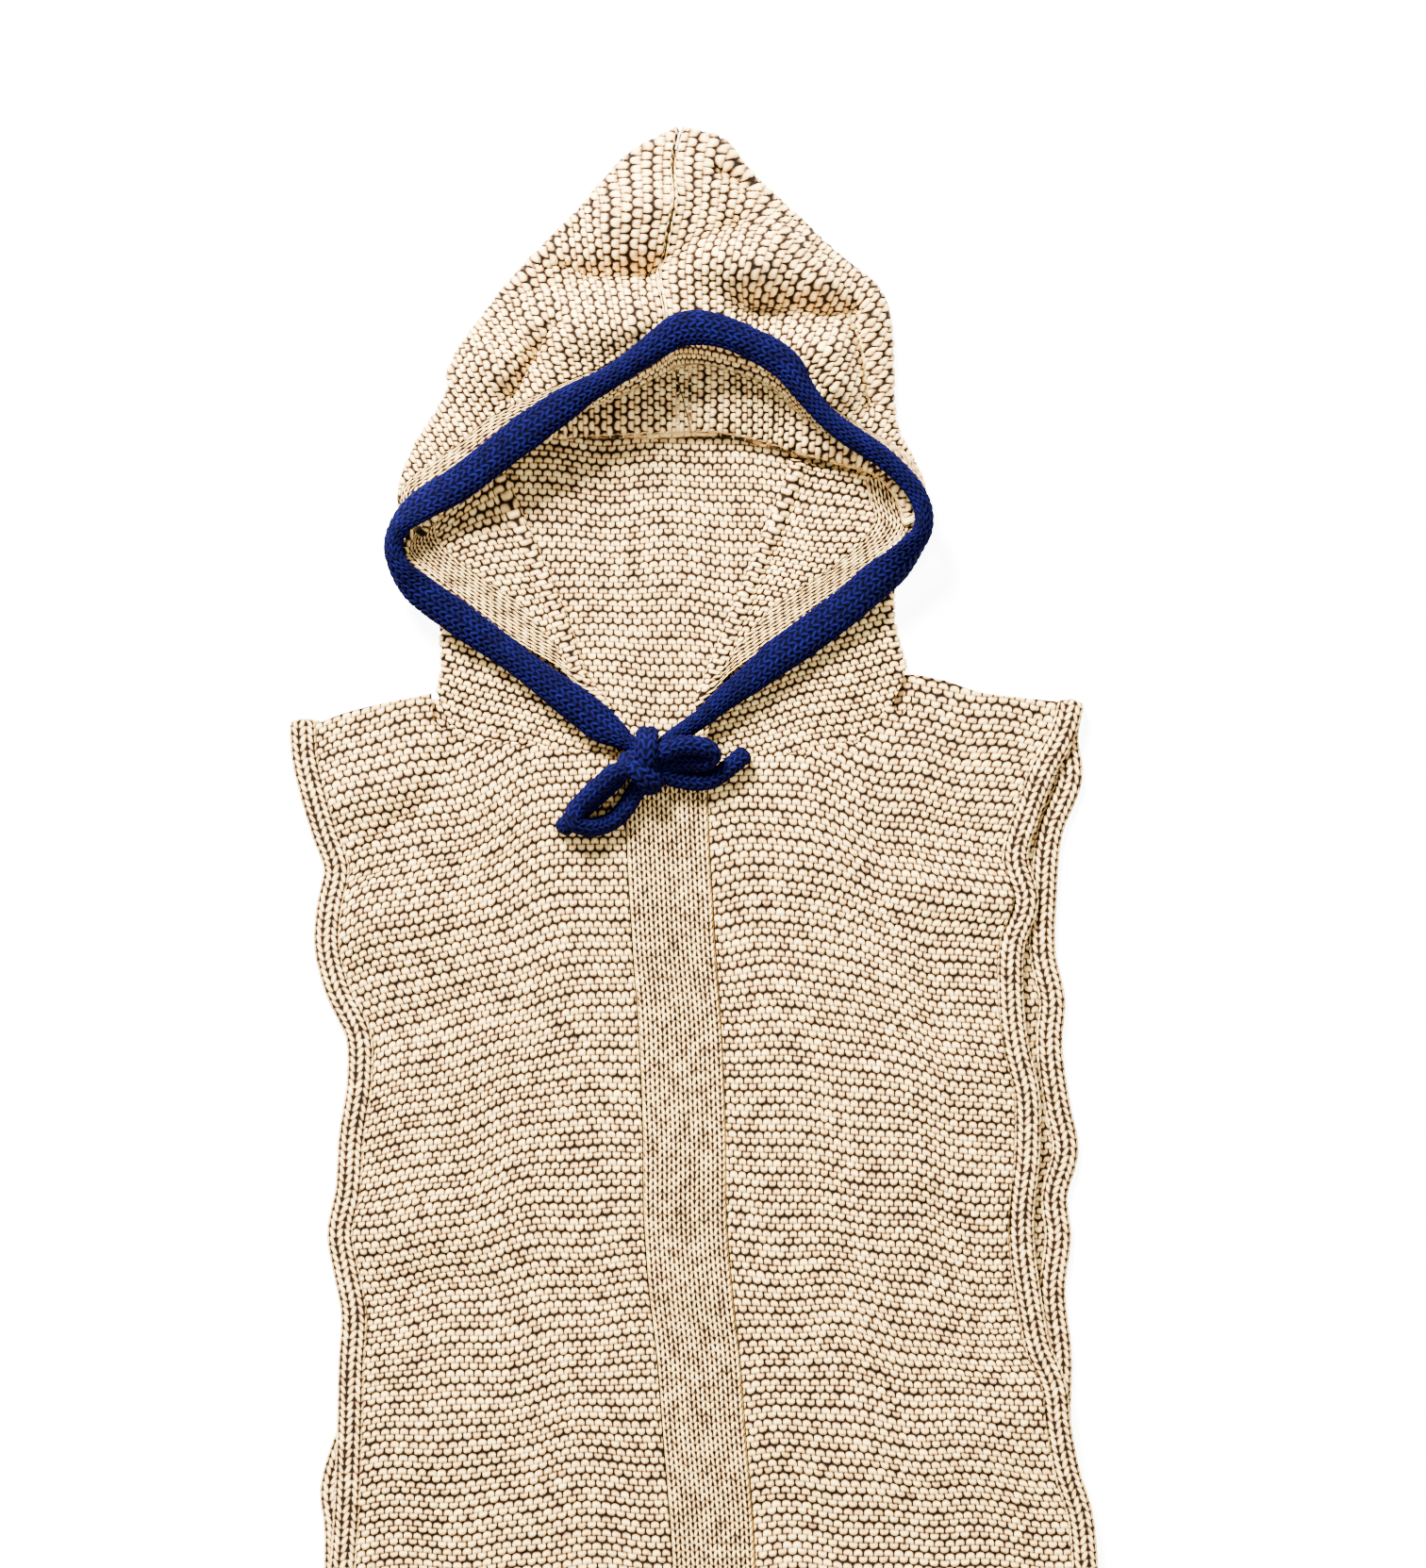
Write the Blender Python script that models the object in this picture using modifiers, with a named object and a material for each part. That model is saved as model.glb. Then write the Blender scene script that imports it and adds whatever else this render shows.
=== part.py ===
"""Hooded knitted vest, laid flat on its back with the hood's mouth facing up.

Run with: blender --background --python part.py

The garment lies on the plane z = 0. +Y runs from the hem towards the tip of the hood, +X is the
wearer's left, and the origin is at the middle of the laid garment. Tables are in millimetres.
A knitted cloth is an open surface, its underside, that gets its wall from a Solidify modifier.
"""

import math
from collections import namedtuple

import bmesh
import bpy
import numpy as np
from mathutils import Vector

MM = 0.001  # one millimetre in metres

# ---------------------------------------------------------------- driving sizes, in millimetres
CLOTH = 3.0  # wall of the garter-stitch cloth
SEAM = 0.4  # clearance between pieces that are sewn together
LAYER = CLOTH + SEAM  # height of the underside of a cloth that lies on another
HEM_Y = -454.0  # the hem, 604 mm below the shoulder
BODY_ROWS = 30  # rows of faces from hem to neck, the same on all panels and bands

BAND_WIDTH = 13.0  # stockinette band along an armhole edge
BAND_HEIGHT = 4.2
BACK_BAND_Z = BAND_HEIGHT / 2
FRONT_BAND_Z = BAND_HEIGHT * 1.5 + SEAM  # lies on the back's band

STRIP_WIDTH = 44.0  # nine columns of stockinette down the front
FRONT_BULGE = 2.4  # how far the fronts stand off the back

FACE_BAND_WIDTH = 21.0  # the stockinette band between the hood and its edging
EDGING_HEIGHT = 9.4  # of the dark blue tubular edging round the hood's mouth
CORD_DIAMETER = 9.0  # the edging's ends, tied in a bow

# ---------------------------------------------------------------- how the cloth bends, in millimetres
FOLD_RADIUS = 3.2  # of the cloth where it is folded at the hood's silhouette
FOLD_LIFT = 0.15  # keeps the folded wall's outer face off the floor
FOLD_MARGIN = 14.0  # soft folds fade out this near to the crown's edges
NECK_BULGE = 1.4  # of the hood's fronts between the neckline and the edging
RIDGE_HEIGHT = 1.6  # the rolled ridge where the lapel meets the back of the head
RIDGE_WIDTH = 3.6
RIDGE_PLACE = 4.5  # from the lapel's inner edge to the top of the ridge
FRONT_MIDDLE_X = 3.0
HALF_WIDTH = 205.0  # of the fronts, whose bulge falls off towards the sides
HEM_FALL = 12.0  # how far above the hem the fronts come to lie flat
CROWN_FOOT_Y = 300.0  # where the hood's outline starts to narrow

# ---------------------------------------------------------------- shares
CROWN_RIM = 0.74  # of a crown section's rows, those that lie outside the mouth
CROWN_LEAN = 1.6  # crowds the crown's rows towards the silhouette, where the cloth bends most
INSIDE_LEAN = 1.7  # how late the cloth turned into the mouth comes down
LAPEL_RISE = 0.62  # of the lapel's width, the part that climbs to the edging
BAND_GAP = 0.012  # the seam beside a face band, of the way across the cloth
HOOD_INSET = 0.968  # of its outline's width, what the hood's back has inside the folds
TIP_INSET = 0.03  # how much lower than its outline the back lies, of the height above the crown's foot

# ---------------------------------------------------------------- columns of faces
SHOULDER_COLUMNS = 3
FRONT_NECK_COLUMNS = 5
BACK_NECK_COLUMNS = 8
NECK_STOPS = (0, 0.1, 0.25, 1, 2, 3, 4, 5)  # two narrow columns round the fold, then the front's own
BACK_STOPS = (0.6, 1, 2, 3, 4, 5, 6, 7, 7.3)  # the hood's fronts are folded round the ends

# ---------------------------------------------------------------- tables
Edge = namedtuple("Edge", "y x")  # the outer edge of a side band
RIGHT_FRONT_EDGE = [
    Edge(HEM_Y, -199.0), Edge(-380, -196.5), Edge(-320, -193.5), Edge(-281, -191), Edge(-243, -189.5),
    Edge(-205, -188.5), Edge(-173, -187.5), Edge(-153, -191.5), Edge(-134, -194.5), Edge(-113, -190.5),
    Edge(-84, -188.5), Edge(-50, -184), Edge(-30, -184.5), Edge(-4, -196), Edge(20, -201.5),
    Edge(40, -200), Edge(60, -196.5), Edge(78, -202.5), Edge(98, -208.5), Edge(120, -213.5),
    Edge(137.5, -214.5),
]
RIGHT_BACK_EDGE = [
    Edge(HEM_Y + 2, -203.0), Edge(-380, -200), Edge(-315, -196.5), Edge(-290, -196.5), Edge(-270, -198.5),
    Edge(-252, -194), Edge(-236, -188), Edge(-205, -185.5), Edge(-170, -184.5), Edge(-134, -189),
    Edge(-84, -185.5), Edge(-40, -181), Edge(-4, -190), Edge(20, -197), Edge(60, -192.5),
    Edge(98, -204), Edge(120, -209), Edge(137.5, -211.5),
]
LEFT_FRONT_EDGE = [
    Edge(HEM_Y, 214.5), Edge(-390, 214), Edge(-309, 213.5), Edge(-282, 210.5), Edge(-261, 204),
    Edge(-237, 199.5), Edge(-214, 196.5), Edge(-196, 189), Edge(-174, 184.5), Edge(-131, 179.5),
    Edge(-88, 183), Edge(-60, 182.5), Edge(-33, 176.5), Edge(-5, 174), Edge(20, 175),
    Edge(42, 182), Edge(66, 176.5), Edge(89, 183), Edge(113, 192), Edge(132, 202),
    Edge(148, 206.5),
]
LEFT_BACK_EDGE = [
    Edge(HEM_Y + 2, 211.5), Edge(-390, 211), Edge(-309, 210.5), Edge(-282, 207.5), Edge(-262, 204),
    Edge(-240, 200), Edge(-200, 200), Edge(-164, 196.5), Edge(-134, 199.5), Edge(-116, 197.5),
    Edge(-90, 203.5), Edge(-66, 199), Edge(-30, 195), Edge(-12, 196.5), Edge(14, 191.5),
    Edge(44, 192), Edge(80, 195.5), Edge(108, 205.5), Edge(130, 203.5), Edge(148, 206.5),
]
STRIP_MIDDLE = [  # the middle of the front's stockinette strip, which leans a little
    Edge(HEM_Y, 13.0), Edge(-380, 12), Edge(-295, 9.5), Edge(-240, 5), Edge(-200, 2), Edge(-164, -2),
    Edge(-125, -5), Edge(-81, -5.5), Edge(-31, -7.5), Edge(19, -11), Edge(69, -14), Edge(115, -15.5),
]

Spot = namedtuple("Spot", "x y")
RIGHT_SHOULDER = [Spot(-188.5, 138), Spot(-178.5, 142), Spot(-160, 146), Spot(-136, 149.5)]
LEFT_SHOULDER = [Spot(112, 162.5), Spot(131.5, 159.5), Spot(151.5, 152.5), Spot(170, 150.5)]
RIGHT_FRONT_NECK = [Spot(-132, 138), Spot(-124, 129), Spot(-103.5, 124.5), Spot(-78, 121), Spot(-52, 118)]
LEFT_FRONT_NECK = [Spot(28, 115.5), Spot(58, 118), Spot(80, 123), Spot(94, 131.5), Spot(105, 147)]
BACK_NECK = [Spot(-128, 137), Spot(-100, 128), Spot(-55, 122), Spot(-8, 121), Spot(40, 122),
             Spot(76, 127), Spot(100, 142)]

RIGHT_HOOD_SIDE = [  # from the shoulder up to the hood's tip, the silhouette less the fold's wall
    Spot(-132.5, 170), Spot(-132.5, 200), Spot(-131.5, 260), Spot(-130, 290), Spot(-128, 314),
    Spot(-126, 328), Spot(-107, 348), Spot(-91, 373), Spot(-59, 404), Spot(-31, 437),
]
LEFT_HOOD_SIDE = [
    Spot(104.5, 186), Spot(103, 206), Spot(103, 260), Spot(102.5, 305),
    Spot(102.5, 326), Spot(101, 344), Spot(93, 364), Spot(69, 384), Spot(41, 409), Spot(17, 430),
]
HOOD_TIP = [Spot(-24, 444), Spot(-10, 446), Spot(2, 440)]

# How a hood half runs over the crown: from the fold at the silhouette, up to the rim that carries
# the edging, and on down inside the mouth to where the turned-in cloth rests.
Section = namedtuple("Section", "fold_x fold_y fold_z rim_x rim_y rim_z end_x end_y end_z")
RIGHT_CROWN = [
    Section(-154.0, 240, 11.0, -149, 238.5, 13, -145, 234, 12),
    Section(-156.5, 257, 10.0, -137, 254.5, 14, -133, 248, 12.5),
    Section(-152.0, 274, 7.0, -121, 265, 16, -117, 259, 14),
    Section(-143.0, 290, 1.5, -103, 278.5, 18, -99.5, 273, 15.5),
    Section(-130.5, 311, 0, -88, 290, 20, -85, 284, 15),
    Section(-128.0, 327, 0, -73, 300, 22, -73, 287.5, 5),
    Section(-113.0, 349.5, 0, -57.5, 310.3, 25, -57, 288.5, LAYER),
    Section(-93.0, 375, 0, -43, 318.3, 28, -41, 288.7, LAYER),
    Section(-63.0, 405.5, 0, -25, 330.3, 31, -21, 288.9, LAYER),
    Section(-34.5, 437, 0, -15, 337.7, 33, -7, 289.2, LAYER),
    Section(-8.0, 451.6, 0, -10, 341, 33, -2, 289.5, LAYER),
]
LEFT_CROWN = [
    Section(122.0, 249, 11.0, 118, 244, 13, 113, 240, 12.5),
    Section(119.5, 263.5, 10.0, 113.5, 261.5, 15, 108, 256, 13.5),
    Section(114.0, 277, 7.5, 101, 274.3, 17, 97, 268, 12.5),
    Section(107.0, 290, 1.5, 86.5, 284.3, 19, 83, 273, 10.5),
    Section(104.0, 306, 0, 72, 294.8, 22, 67, 276.3, 8.5),
    Section(103.5, 326, 0, 62, 304.8, 24, 54, 279.5, 7),
    Section(102.5, 346, 0, 56, 313, 26, 46, 281.8, 4.5),
    Section(96.5, 366, 0, 50.5, 321.6, 28, 38, 284.2, LAYER),
    Section(73.5, 386, 0, 38, 331, 30, 27, 286.6, LAYER),
    Section(46.5, 411, 0, 20.5, 339, 32, 14, 288.4, LAYER),
    Section(27.0, 430, 0, 6, 342.6, 33, 6.5, 289.2, LAYER),
    Section(14.0, 445.5, 0, -3, 342.6, 33, 2, 289.4, LAYER),
    Section(-7.3, 451.6, 0, -9.3, 341, 33, -1.2, 289.5, LAYER),
]

# The inner side of a hood half, seen through the mouth: from the ridge at the back of the head
# to the edging, station by station from the neck up.
Lapel = namedtuple("Lapel", "ridge_x ridge_y rim_x rim_y rim_z")
RIGHT_LAPEL = [
    Lapel(-43.5, 145.5, -47, 142, 5.2), Lapel(-56, 161.5, -66.3, 161.7, 7.4), Lapel(-66, 189, -94, 180, 8),
    Lapel(-76, 214, -123, 201.3, 8.6), Lapel(-88.5, 241.5, -150, 220.5, 10),
    Lapel(-99, 266, -154.5, 227.5, 8.6), Lapel(-102, 274, -150, 240, 6),
]
LEFT_LAPEL = [
    Lapel(-0.5, 148.5, 2.5, 144.5, 5.2), Lapel(4.5, 160, 13.5, 161, 7.4), Lapel(14, 184, 36, 181.3, 8),
    Lapel(25, 211, 67.2, 204.3, 8.4), Lapel(34.5, 234, 101, 226.5, 9.2), Lapel(43, 255, 115.5, 238, 8.6),
    Lapel(49, 271, 113, 252, 7),
]

RIGHT_NECK_INNER = [Spot(-50, 137), Spot(-70, 155), Spot(-92, 169), Spot(-110, 181),
                    Spot(-121, 191)]
LEFT_NECK_INNER = [Spot(9, 139), Spot(26, 156), Spot(56, 182), Spot(73, 193), Spot(92, 206)]

# The edging's route round the mouth: its middle, how many degrees its flat side is turned up on
# edge, and its width, which the cloth's pull changes along the way.
Stop = namedtuple("Stop", "x y z turn width")
EDGING_ROUTE = [
    Stop(-35.6, 126.6, 15, 0, 9), Stop(-40.5, 129.8, 15, 0, 13), Stop(-48.1, 134.7, 15, 0, 17.5),
    Stop(-58.1, 142.6, 15, 0, 18), Stop(-68, 150.1, 15, 0, 17.6), Stop(-78, 157.6, 15, 0, 15.8),
    Stop(-98, 172.6, 15, 0, 15), Stop(-107.9, 179.8, 15, 0, 16), Stop(-117.9, 186.8, 15.5, 2, 17),
    Stop(-127.8, 194, 16, 5, 17.4), Stop(-137.7, 200.9, 17, 12, 17.4), Stop(-147.6, 208.8, 18, 20, 16.5),
    Stop(-155, 217.5, 20.4, 50, 14), Stop(-158.6, 226.8, 22.1, 72, 10.8), Stop(-157.8, 235.3, 22.4, 63, 11.5),
    Stop(-153.3, 243.2, 22.5, 46, 15), Stop(-145.9, 249.7, 22.6, 28, 17.5),
    Stop(-137.4, 255.1, 23.3, 18, 17.5),
    Stop(-127.4, 260.5, 24.1, 10, 18), Stop(-117.4, 267.4, 25, 6, 18), Stop(-107.4, 275.1, 26, 3, 18),
    Stop(-97.4, 282.9, 27.2, 0, 18.2), Stop(-87.5, 290.3, 28.6, 0, 19), Stop(-77.5, 297.3, 30.1, 0, 17.8),
    Stop(-67.5, 303.9, 31.8, 0, 16.6), Stop(-57.6, 310.2, 33.6, 0, 13.7), Stop(-47.6, 315.5, 35.6, 0, 12),
    Stop(-37.7, 321.5, 37.4, 0, 11.8), Stop(-27.8, 328.3, 39.1, 0, 13), Stop(-17.9, 335.6, 40.5, 0, 15),
    Stop(-8, 341.7, 41.2, 0, 17), Stop(0.4, 343.2, 41.2, 0, 18), Stop(10.2, 342.2, 40.9, 0, 16.8),
    Stop(20.6, 339.1, 40.1, 0, 16), Stop(31.5, 334.2, 38.8, 0, 16), Stop(41.4, 328.9, 37.8, 3, 16.5),
    Stop(49.8, 322, 37.3, 8, 15.5), Stop(55.7, 313, 36.3, 15, 12.6), Stop(62.7, 303.9, 34.5, 18, 10.8),
    Stop(71.1, 295.4, 33.1, 18, 10.8), Stop(81.1, 287.8, 31.5, 18, 11.6), Stop(91.1, 281.5, 30, 20, 11.2),
    Stop(101, 274.6, 28.7, 28, 10.8), Stop(109, 267.2, 27.7, 38, 10.2), Stop(116, 258.9, 26.8, 48, 9.8),
    Stop(120.6, 248, 25.4, 64, 9.8), Stop(120.1, 238.2, 23.4, 66, 12.5), Stop(114.2, 229.4, 20.7, 48, 16),
    Stop(105.6, 219.5, 18.4, 23, 18.2), Stop(93.5, 209.6, 16.8, 8, 19), Stop(82.3, 199.7, 15.8, 2, 19),
    Stop(69.3, 189.8, 15.1, 0, 19.2), Stop(55.9, 179.8, 15, 0, 19.2), Stop(41.9, 169.8, 15, 0, 17.8),
    Stop(29.9, 159.8, 15, 0, 15), Stop(15.7, 149.2, 15, 0, 11.8), Stop(4.8, 139.9, 15, 0, 9.6),
    Stop(-12.4, 127.6, 15, 0, 9),
]

Knot = namedtuple("Knot", "x y z")
KNOT_MIDDLE = Knot(-24.0, 115.0, 19.7)
KNOT_SIZE = Knot(19.0, 30.0, 20.0)
RIGHT_LOOP = [Knot(-34.2, 112, 24.6), Knot(-41, 110.6, 25), Knot(-49.3, 104, 25), Knot(-56.8, 97, 24.8),
              Knot(-62.6, 90, 24.6), Knot(-63.3, 84.4, 24), Knot(-56.6, 81.2, 20.4), Knot(-48.4, 82.2, 15.8),
              Knot(-42.4, 86.2, 14.6), Knot(-37, 92.4, 14.6), Knot(-31.4, 99.6, 15)]
RIGHT_END = [Knot(-35.6, 113.4, 14.6), Knot(-43.6, 105, 14.6), Knot(-52, 97.6, 14.8), Knot(-58.5, 91.5, 14.8),
             Knot(-64.5, 86, 15), Knot(-68.6, 81.8, 15.4), Knot(-71.2, 78.4, 15.6)]
LEFT_LOOP = [Knot(-14.2, 121, 25.2), Knot(-8.2, 122.6, 26), Knot(0.4, 122.6, 26), Knot(6.4, 121, 24.6),
             Knot(8.6, 117.2, 22), Knot(5.6, 114, 19.8), Knot(-0.6, 113.2, 18.4), Knot(-7, 113.2, 18),
             Knot(-13.4, 113.4, 18)]
LEFT_END = [Knot(-16.2, 104.4, 16), Knot(-9.4, 103, 14.8), Knot(-1.4, 102.2, 14.2), Knot(4.2, 102, 14.1),
            Knot(10.4, 103.6, 14.1), Knot(16.4, 108.8, 14.2), Knot(22.6, 115, 14.3), Knot(28.6, 119.4, 14.4)]

# Soft folds of the laid cloth: a ridge, or a trough if the height is below nought, along a line.
Fold = namedtuple("Fold", "x1 y1 x2 y2 height width")
FRONT_FOLDS = [
    Fold(-124, 120, -172, 62, -2.2, 10), Fold(-196, 96, -150, 104, 2.6, 16),
    Fold(-188, 24, -150, 36, 2.4, 17), Fold(-176, -32, -120, -10, -1.4, 13),
    Fold(-182, -134, -140, -128, 1.8, 18), Fold(-180, -176, -130, -160, -1.2, 14),
    Fold(-184, -262, -120, -240, 1.6, 22), Fold(-90, 96, -40, 40, 1.4, 22),
    Fold(-110, -160, -40, -168, -1.4, 16), Fold(168, 44, 120, 50, 2.2, 15),
    Fold(168, 66, 130, 84, -1.4, 10), Fold(24, 40, 44, 16, -1.8, 12),
    Fold(172, -34, 110, -60, 1.6, 18), Fold(130, -120, 160, -180, -1.8, 13),
    Fold(176, -132, 120, -100, 1.6, 16), Fold(184, -226, 130, -250, 1.8, 20),
    Fold(40, -280, 110, -300, -1.6, 20), Fold(-20, -160, 24, -170, 1.2, 14),
    Fold(90, 110, 60, 60, 1.5, 20), Fold(60, -360, 130, -400, 1.6, 26),
    Fold(-150, -370, -70, -395, 1.8, 26),
]
CROWN_FOLDS = [
    Fold(-88, 372, -26, 372, -7.0, 10), Fold(-22, 376, 22, 397, -3.0, 9), Fold(-72, 342, -34, 346, 3.2, 12),
    Fold(-74, 344, -96, 312, -6.5, 7), Fold(-112, 330, -100, 318, 4.0, 12), Fold(8, 384, 30, 376, 5.0, 13),
    Fold(30, 356, 70, 352, -5.0, 10), Fold(84, 354, 92, 306, -6.5, 6), Fold(70, 330, 74, 316, 4.0, 12),
    Fold(14, 428, 26, 420, -3.5, 5), Fold(-40, 404, -16, 412, 3.0, 12), Fold(48, 392, 66, 372, 3.0, 10),
]


# ---------------------------------------------------------------- lines and surfaces
def smooth(at, values, places):
    """Reads a table's column at any place, with a smooth curve through its rows."""
    at = np.asarray(at, float)
    values = np.asarray(values, float)
    slopes = np.gradient(values, at)
    places = np.clip(places, at[0], at[-1])
    row = np.clip(np.searchsorted(at, places, side="right") - 1, 0, len(at) - 2)
    step = at[row + 1] - at[row]
    t = (places - at[row]) / step
    start = (1 + 2 * t) * (1 - t) ** 2 * values[row] + t * (1 - t) ** 2 * step * slopes[row]
    stop = t * t * (3 - 2 * t) * values[row + 1] + t * t * (t - 1) * step * slopes[row + 1]
    return start + stop


def line(rows):
    """A smooth line through a table's rows, as a function of the share of its length, 0 to 1."""
    points = np.array([list(row) for row in rows], float)
    steps = np.linalg.norm(np.diff(points[:, :3], axis=0), axis=1)
    at = np.concatenate([[0.0], np.cumsum(steps)]) / steps.sum()

    def read(share):
        share = np.asarray(share, float)
        return np.stack([smooth(at, points[:, i], share) for i in range(points.shape[1])], axis=-1)

    return read


def broken_line(*stretches):
    """Lines that meet at corners. A stretch is its rows and its share of the panel's columns."""
    lines = [line(rows) for rows, columns in stretches]
    ends = np.cumsum([0] + [columns for rows, columns in stretches])

    def read(share):
        column = np.asarray(share, float) * ends[-1]
        which = np.clip(np.searchsorted(ends, column, side="right") - 1, 0, len(lines) - 1)
        within = (column - ends[which]) / (ends[which + 1] - ends[which])
        parts = np.stack([part(within) for part in lines])
        return np.take_along_axis(parts, which[None, ..., None], axis=0)[0]

    return read


def facets(edge, columns, stops):
    """A border read on the straight facets of its neighbour's columns, with a column at each stop."""
    points = edge(np.arange(columns + 1) / columns)

    def read(share):
        column = np.interp(share, np.linspace(0, 1, len(stops)), stops)
        return np.stack([np.interp(column, range(columns + 1), points[:, i]) for i in (0, 1)], axis=-1)

    return read


def edge_x(rows, y):
    """The x of an edge's table at any y."""
    return smooth([row.y for row in rows], [row.x for row in rows], y)


def upright(rows, bottom_y, top_y, aside=0.0):
    """A side edge from its table, from bottom_y to top_y, moved aside along X."""

    def read(share):
        y = bottom_y + (top_y - bottom_y) * np.asarray(share, float)
        return np.stack([edge_x(rows, y) + aside, y], axis=-1)

    return read


def patch(bottom, top, left, right, shares=(0, 1)):
    """The flat place of (u, v) inside four border lines that meet at their ends.

    shares are the even steps of u as shares of the width, where columns are of unlike widths.
    """

    def read(u, v):
        across = np.interp(u, np.linspace(0, 1, len(shares)), shares)[..., None]
        up = v[..., None]
        corners = (
            (1 - across) * (1 - up) * bottom(np.zeros_like(u))
            + across * (1 - up) * bottom(np.ones_like(u))
            + (1 - across) * up * top(np.zeros_like(u))
            + across * up * top(np.ones_like(u))
        )
        between = (1 - up) * bottom(u) + up * top(u)
        return between + (1 - across) * left(v) + across * right(v) - corners

    return read


def folds_height(folds, x, y):
    """The sum of soft ridges and troughs at (x, y)."""
    height = np.zeros_like(x)
    for fold in folds:
        ax, ay = fold.x2 - fold.x1, fold.y2 - fold.y1
        share = np.clip(((x - fold.x1) * ax + (y - fold.y1) * ay) / (ax * ax + ay * ay), 0, 1)
        apart = np.hypot(x - fold.x1 - share * ax, y - fold.y1 - share * ay)
        height += fold.height * np.exp(-((apart / fold.width) ** 2))
    return height


def front_height(x, y):
    """How far the underside of the fronts stands above the floor."""
    side = 1 - np.clip(np.abs(x - FRONT_MIDDLE_X) / HALF_WIDTH, 0, 1) ** 6
    end = 1 - np.exp(-(y - HEM_Y) / HEM_FALL)
    swell = (FRONT_BULGE * side + folds_height(FRONT_FOLDS, x, y)) * end
    return LAYER + SEAM + np.maximum(swell, 0.0)


def read_sections(rows, share):
    """Every column of a table of sections, at a share of its rows."""
    at = np.linspace(0, 1, len(rows))
    return [smooth(at, column, share) for column in zip(*rows)]


def crown_place(rows):
    """The underside of a hood half over the crown: s along the rim, t from the fold to the inside."""

    def place(s, t):
        fx, fy, fz, rx, ry, rz, ex, ey, ez = read_sections(rows, s)
        out = np.clip(t / CROWN_RIM, 0, 1) ** CROWN_LEAN
        turned = np.clip((t - CROWN_RIM) / (1 - CROWN_RIM), 0, 1)
        x = fx + (rx - fx) * out + (ex - rx) * turned
        y = fy + (ry - fy) * out + (ey - ry) * turned
        width = np.hypot(rx - fx, ry - fy)
        from_fold = np.clip(out * width / FOLD_RADIUS, 0, 1)
        step = LAYER + SEAM
        curl = step * np.sqrt(1 - (1 - from_fold) ** 2) * np.clip(1 - fz / step, 0, 1)
        dome = (rz - fz - curl) * (1 - (1 - out) ** 2)
        margins = np.clip(out * width / FOLD_MARGIN, 0, 1) * np.clip((1 - out) * width / FOLD_MARGIN, 0, 1)
        lowest = fz + FOLD_LIFT + curl
        outside = np.maximum(lowest + dome + margins * folds_height(CROWN_FOLDS, x, y), lowest)
        inside = rz + (ez - rz) * turned ** INSIDE_LEAN
        return np.stack([x, y, np.where(t <= CROWN_RIM, outside, inside)], axis=-1)

    return place


def lapel_place(rows):
    """The underside of a hood half inside the mouth: u from edging to ridge, v from the neck up."""

    def place(u, v):
        ridge_x, ridge_y, rim_x, rim_y, rim_z = read_sections(rows, v)
        across = 1 - u
        x = ridge_x + (rim_x - ridge_x) * across
        y = ridge_y + (rim_y - ridge_y) * across
        width = np.hypot(rim_x - ridge_x, rim_y - ridge_y)
        from_top = (across * width - RIDGE_PLACE) / RIDGE_WIDTH
        roll = RIDGE_HEIGHT * np.exp(-(from_top**2)) * np.clip(width / FOLD_MARGIN, 0, 1)
        rise = np.clip(across / LAPEL_RISE, 0, 1)
        z = LAYER + (rim_z - LAYER) * rise * rise * (3 - 2 * rise) + roll
        return np.stack([x, y, z], axis=-1)

    return place


def inner_band_share(rows, v):
    """Where the band inside the mouth ends, as a share of the way from the edging to the ridge."""
    ridge_x, ridge_y, rim_x, rim_y, rim_z = read_sections(rows, v)
    return np.minimum(FACE_BAND_WIDTH / np.hypot(rim_x - ridge_x, rim_y - ridge_y), 0.5)


def outer_band_share(rows, s):
    """Where the band on the crown begins, as a share of the way from the silhouette to the inside."""
    fx, fy, fz, rx, ry, rz, ex, ey, ez = read_sections(rows, s)
    before_rim = np.minimum(FACE_BAND_WIDTH / np.hypot(rx - fx, ry - fy), 0.5)
    return CROWN_RIM * (1 - before_rim) ** (1 / CROWN_LEAN)


def neck_place(outline, inner, neckline, fold_is_last):
    """The underside of the hood's front below the edging, folded at the silhouette."""
    columns = NECK_STOPS[-1]
    stops = [columns - stop for stop in reversed(NECK_STOPS)] if fold_is_last else NECK_STOPS
    sides = (inner, outline) if fold_is_last else (outline, inner)
    top = line([sides[0][-1], sides[1][-1]])
    shares = np.array(stops) / columns
    stretched_top = facets(top, columns, stops)
    plan = patch(facets(neckline, columns, stops), stretched_top, line(sides[0]), line(sides[1]), shares)

    def place(u, v):
        flat = plan(u, v)
        x, y = flat[..., 0], flat[..., 1]
        from_fold = np.abs(x - edge_x(outline, y))
        near = 1 - np.clip(from_fold / FOLD_RADIUS, 0, 1)
        above_neck = np.clip(v / 0.3, 0, 1)
        drop = (LAYER + SEAM) * (1 - np.sqrt(1 - near**2)) * above_neck
        bulge = NECK_BULGE * np.sin(math.pi * v) * np.clip(from_fold / 30, 0, 1)
        return np.stack([x, y, LAYER + SEAM - drop + bulge], axis=-1)

    return place


# ---------------------------------------------------------------- objects
def clear_scene():
    """Takes out whatever the scene held before."""
    for thing in list(bpy.data.objects):
        bpy.data.objects.remove(thing)


def make_collection(name):
    collection = bpy.data.collections.new(name)
    bpy.context.scene.collection.children.link(collection)
    return collection


def yarn(name, color, roughness):
    """Matt cotton yarn."""
    material = bpy.data.materials.new(name)
    material.use_nodes = True
    shader = material.node_tree.nodes["Principled BSDF"]
    shader.inputs["Base Color"].default_value = (*color, 1.0)
    shader.inputs["Roughness"].default_value = roughness
    shader.inputs["Metallic"].default_value = 0.0
    return material


def add(name, mesh, material, collection):
    mesh.materials.append(material)
    thing = bpy.data.objects.new(name, mesh)
    collection.objects.link(thing)
    mesh.shade_smooth()
    return thing


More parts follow.
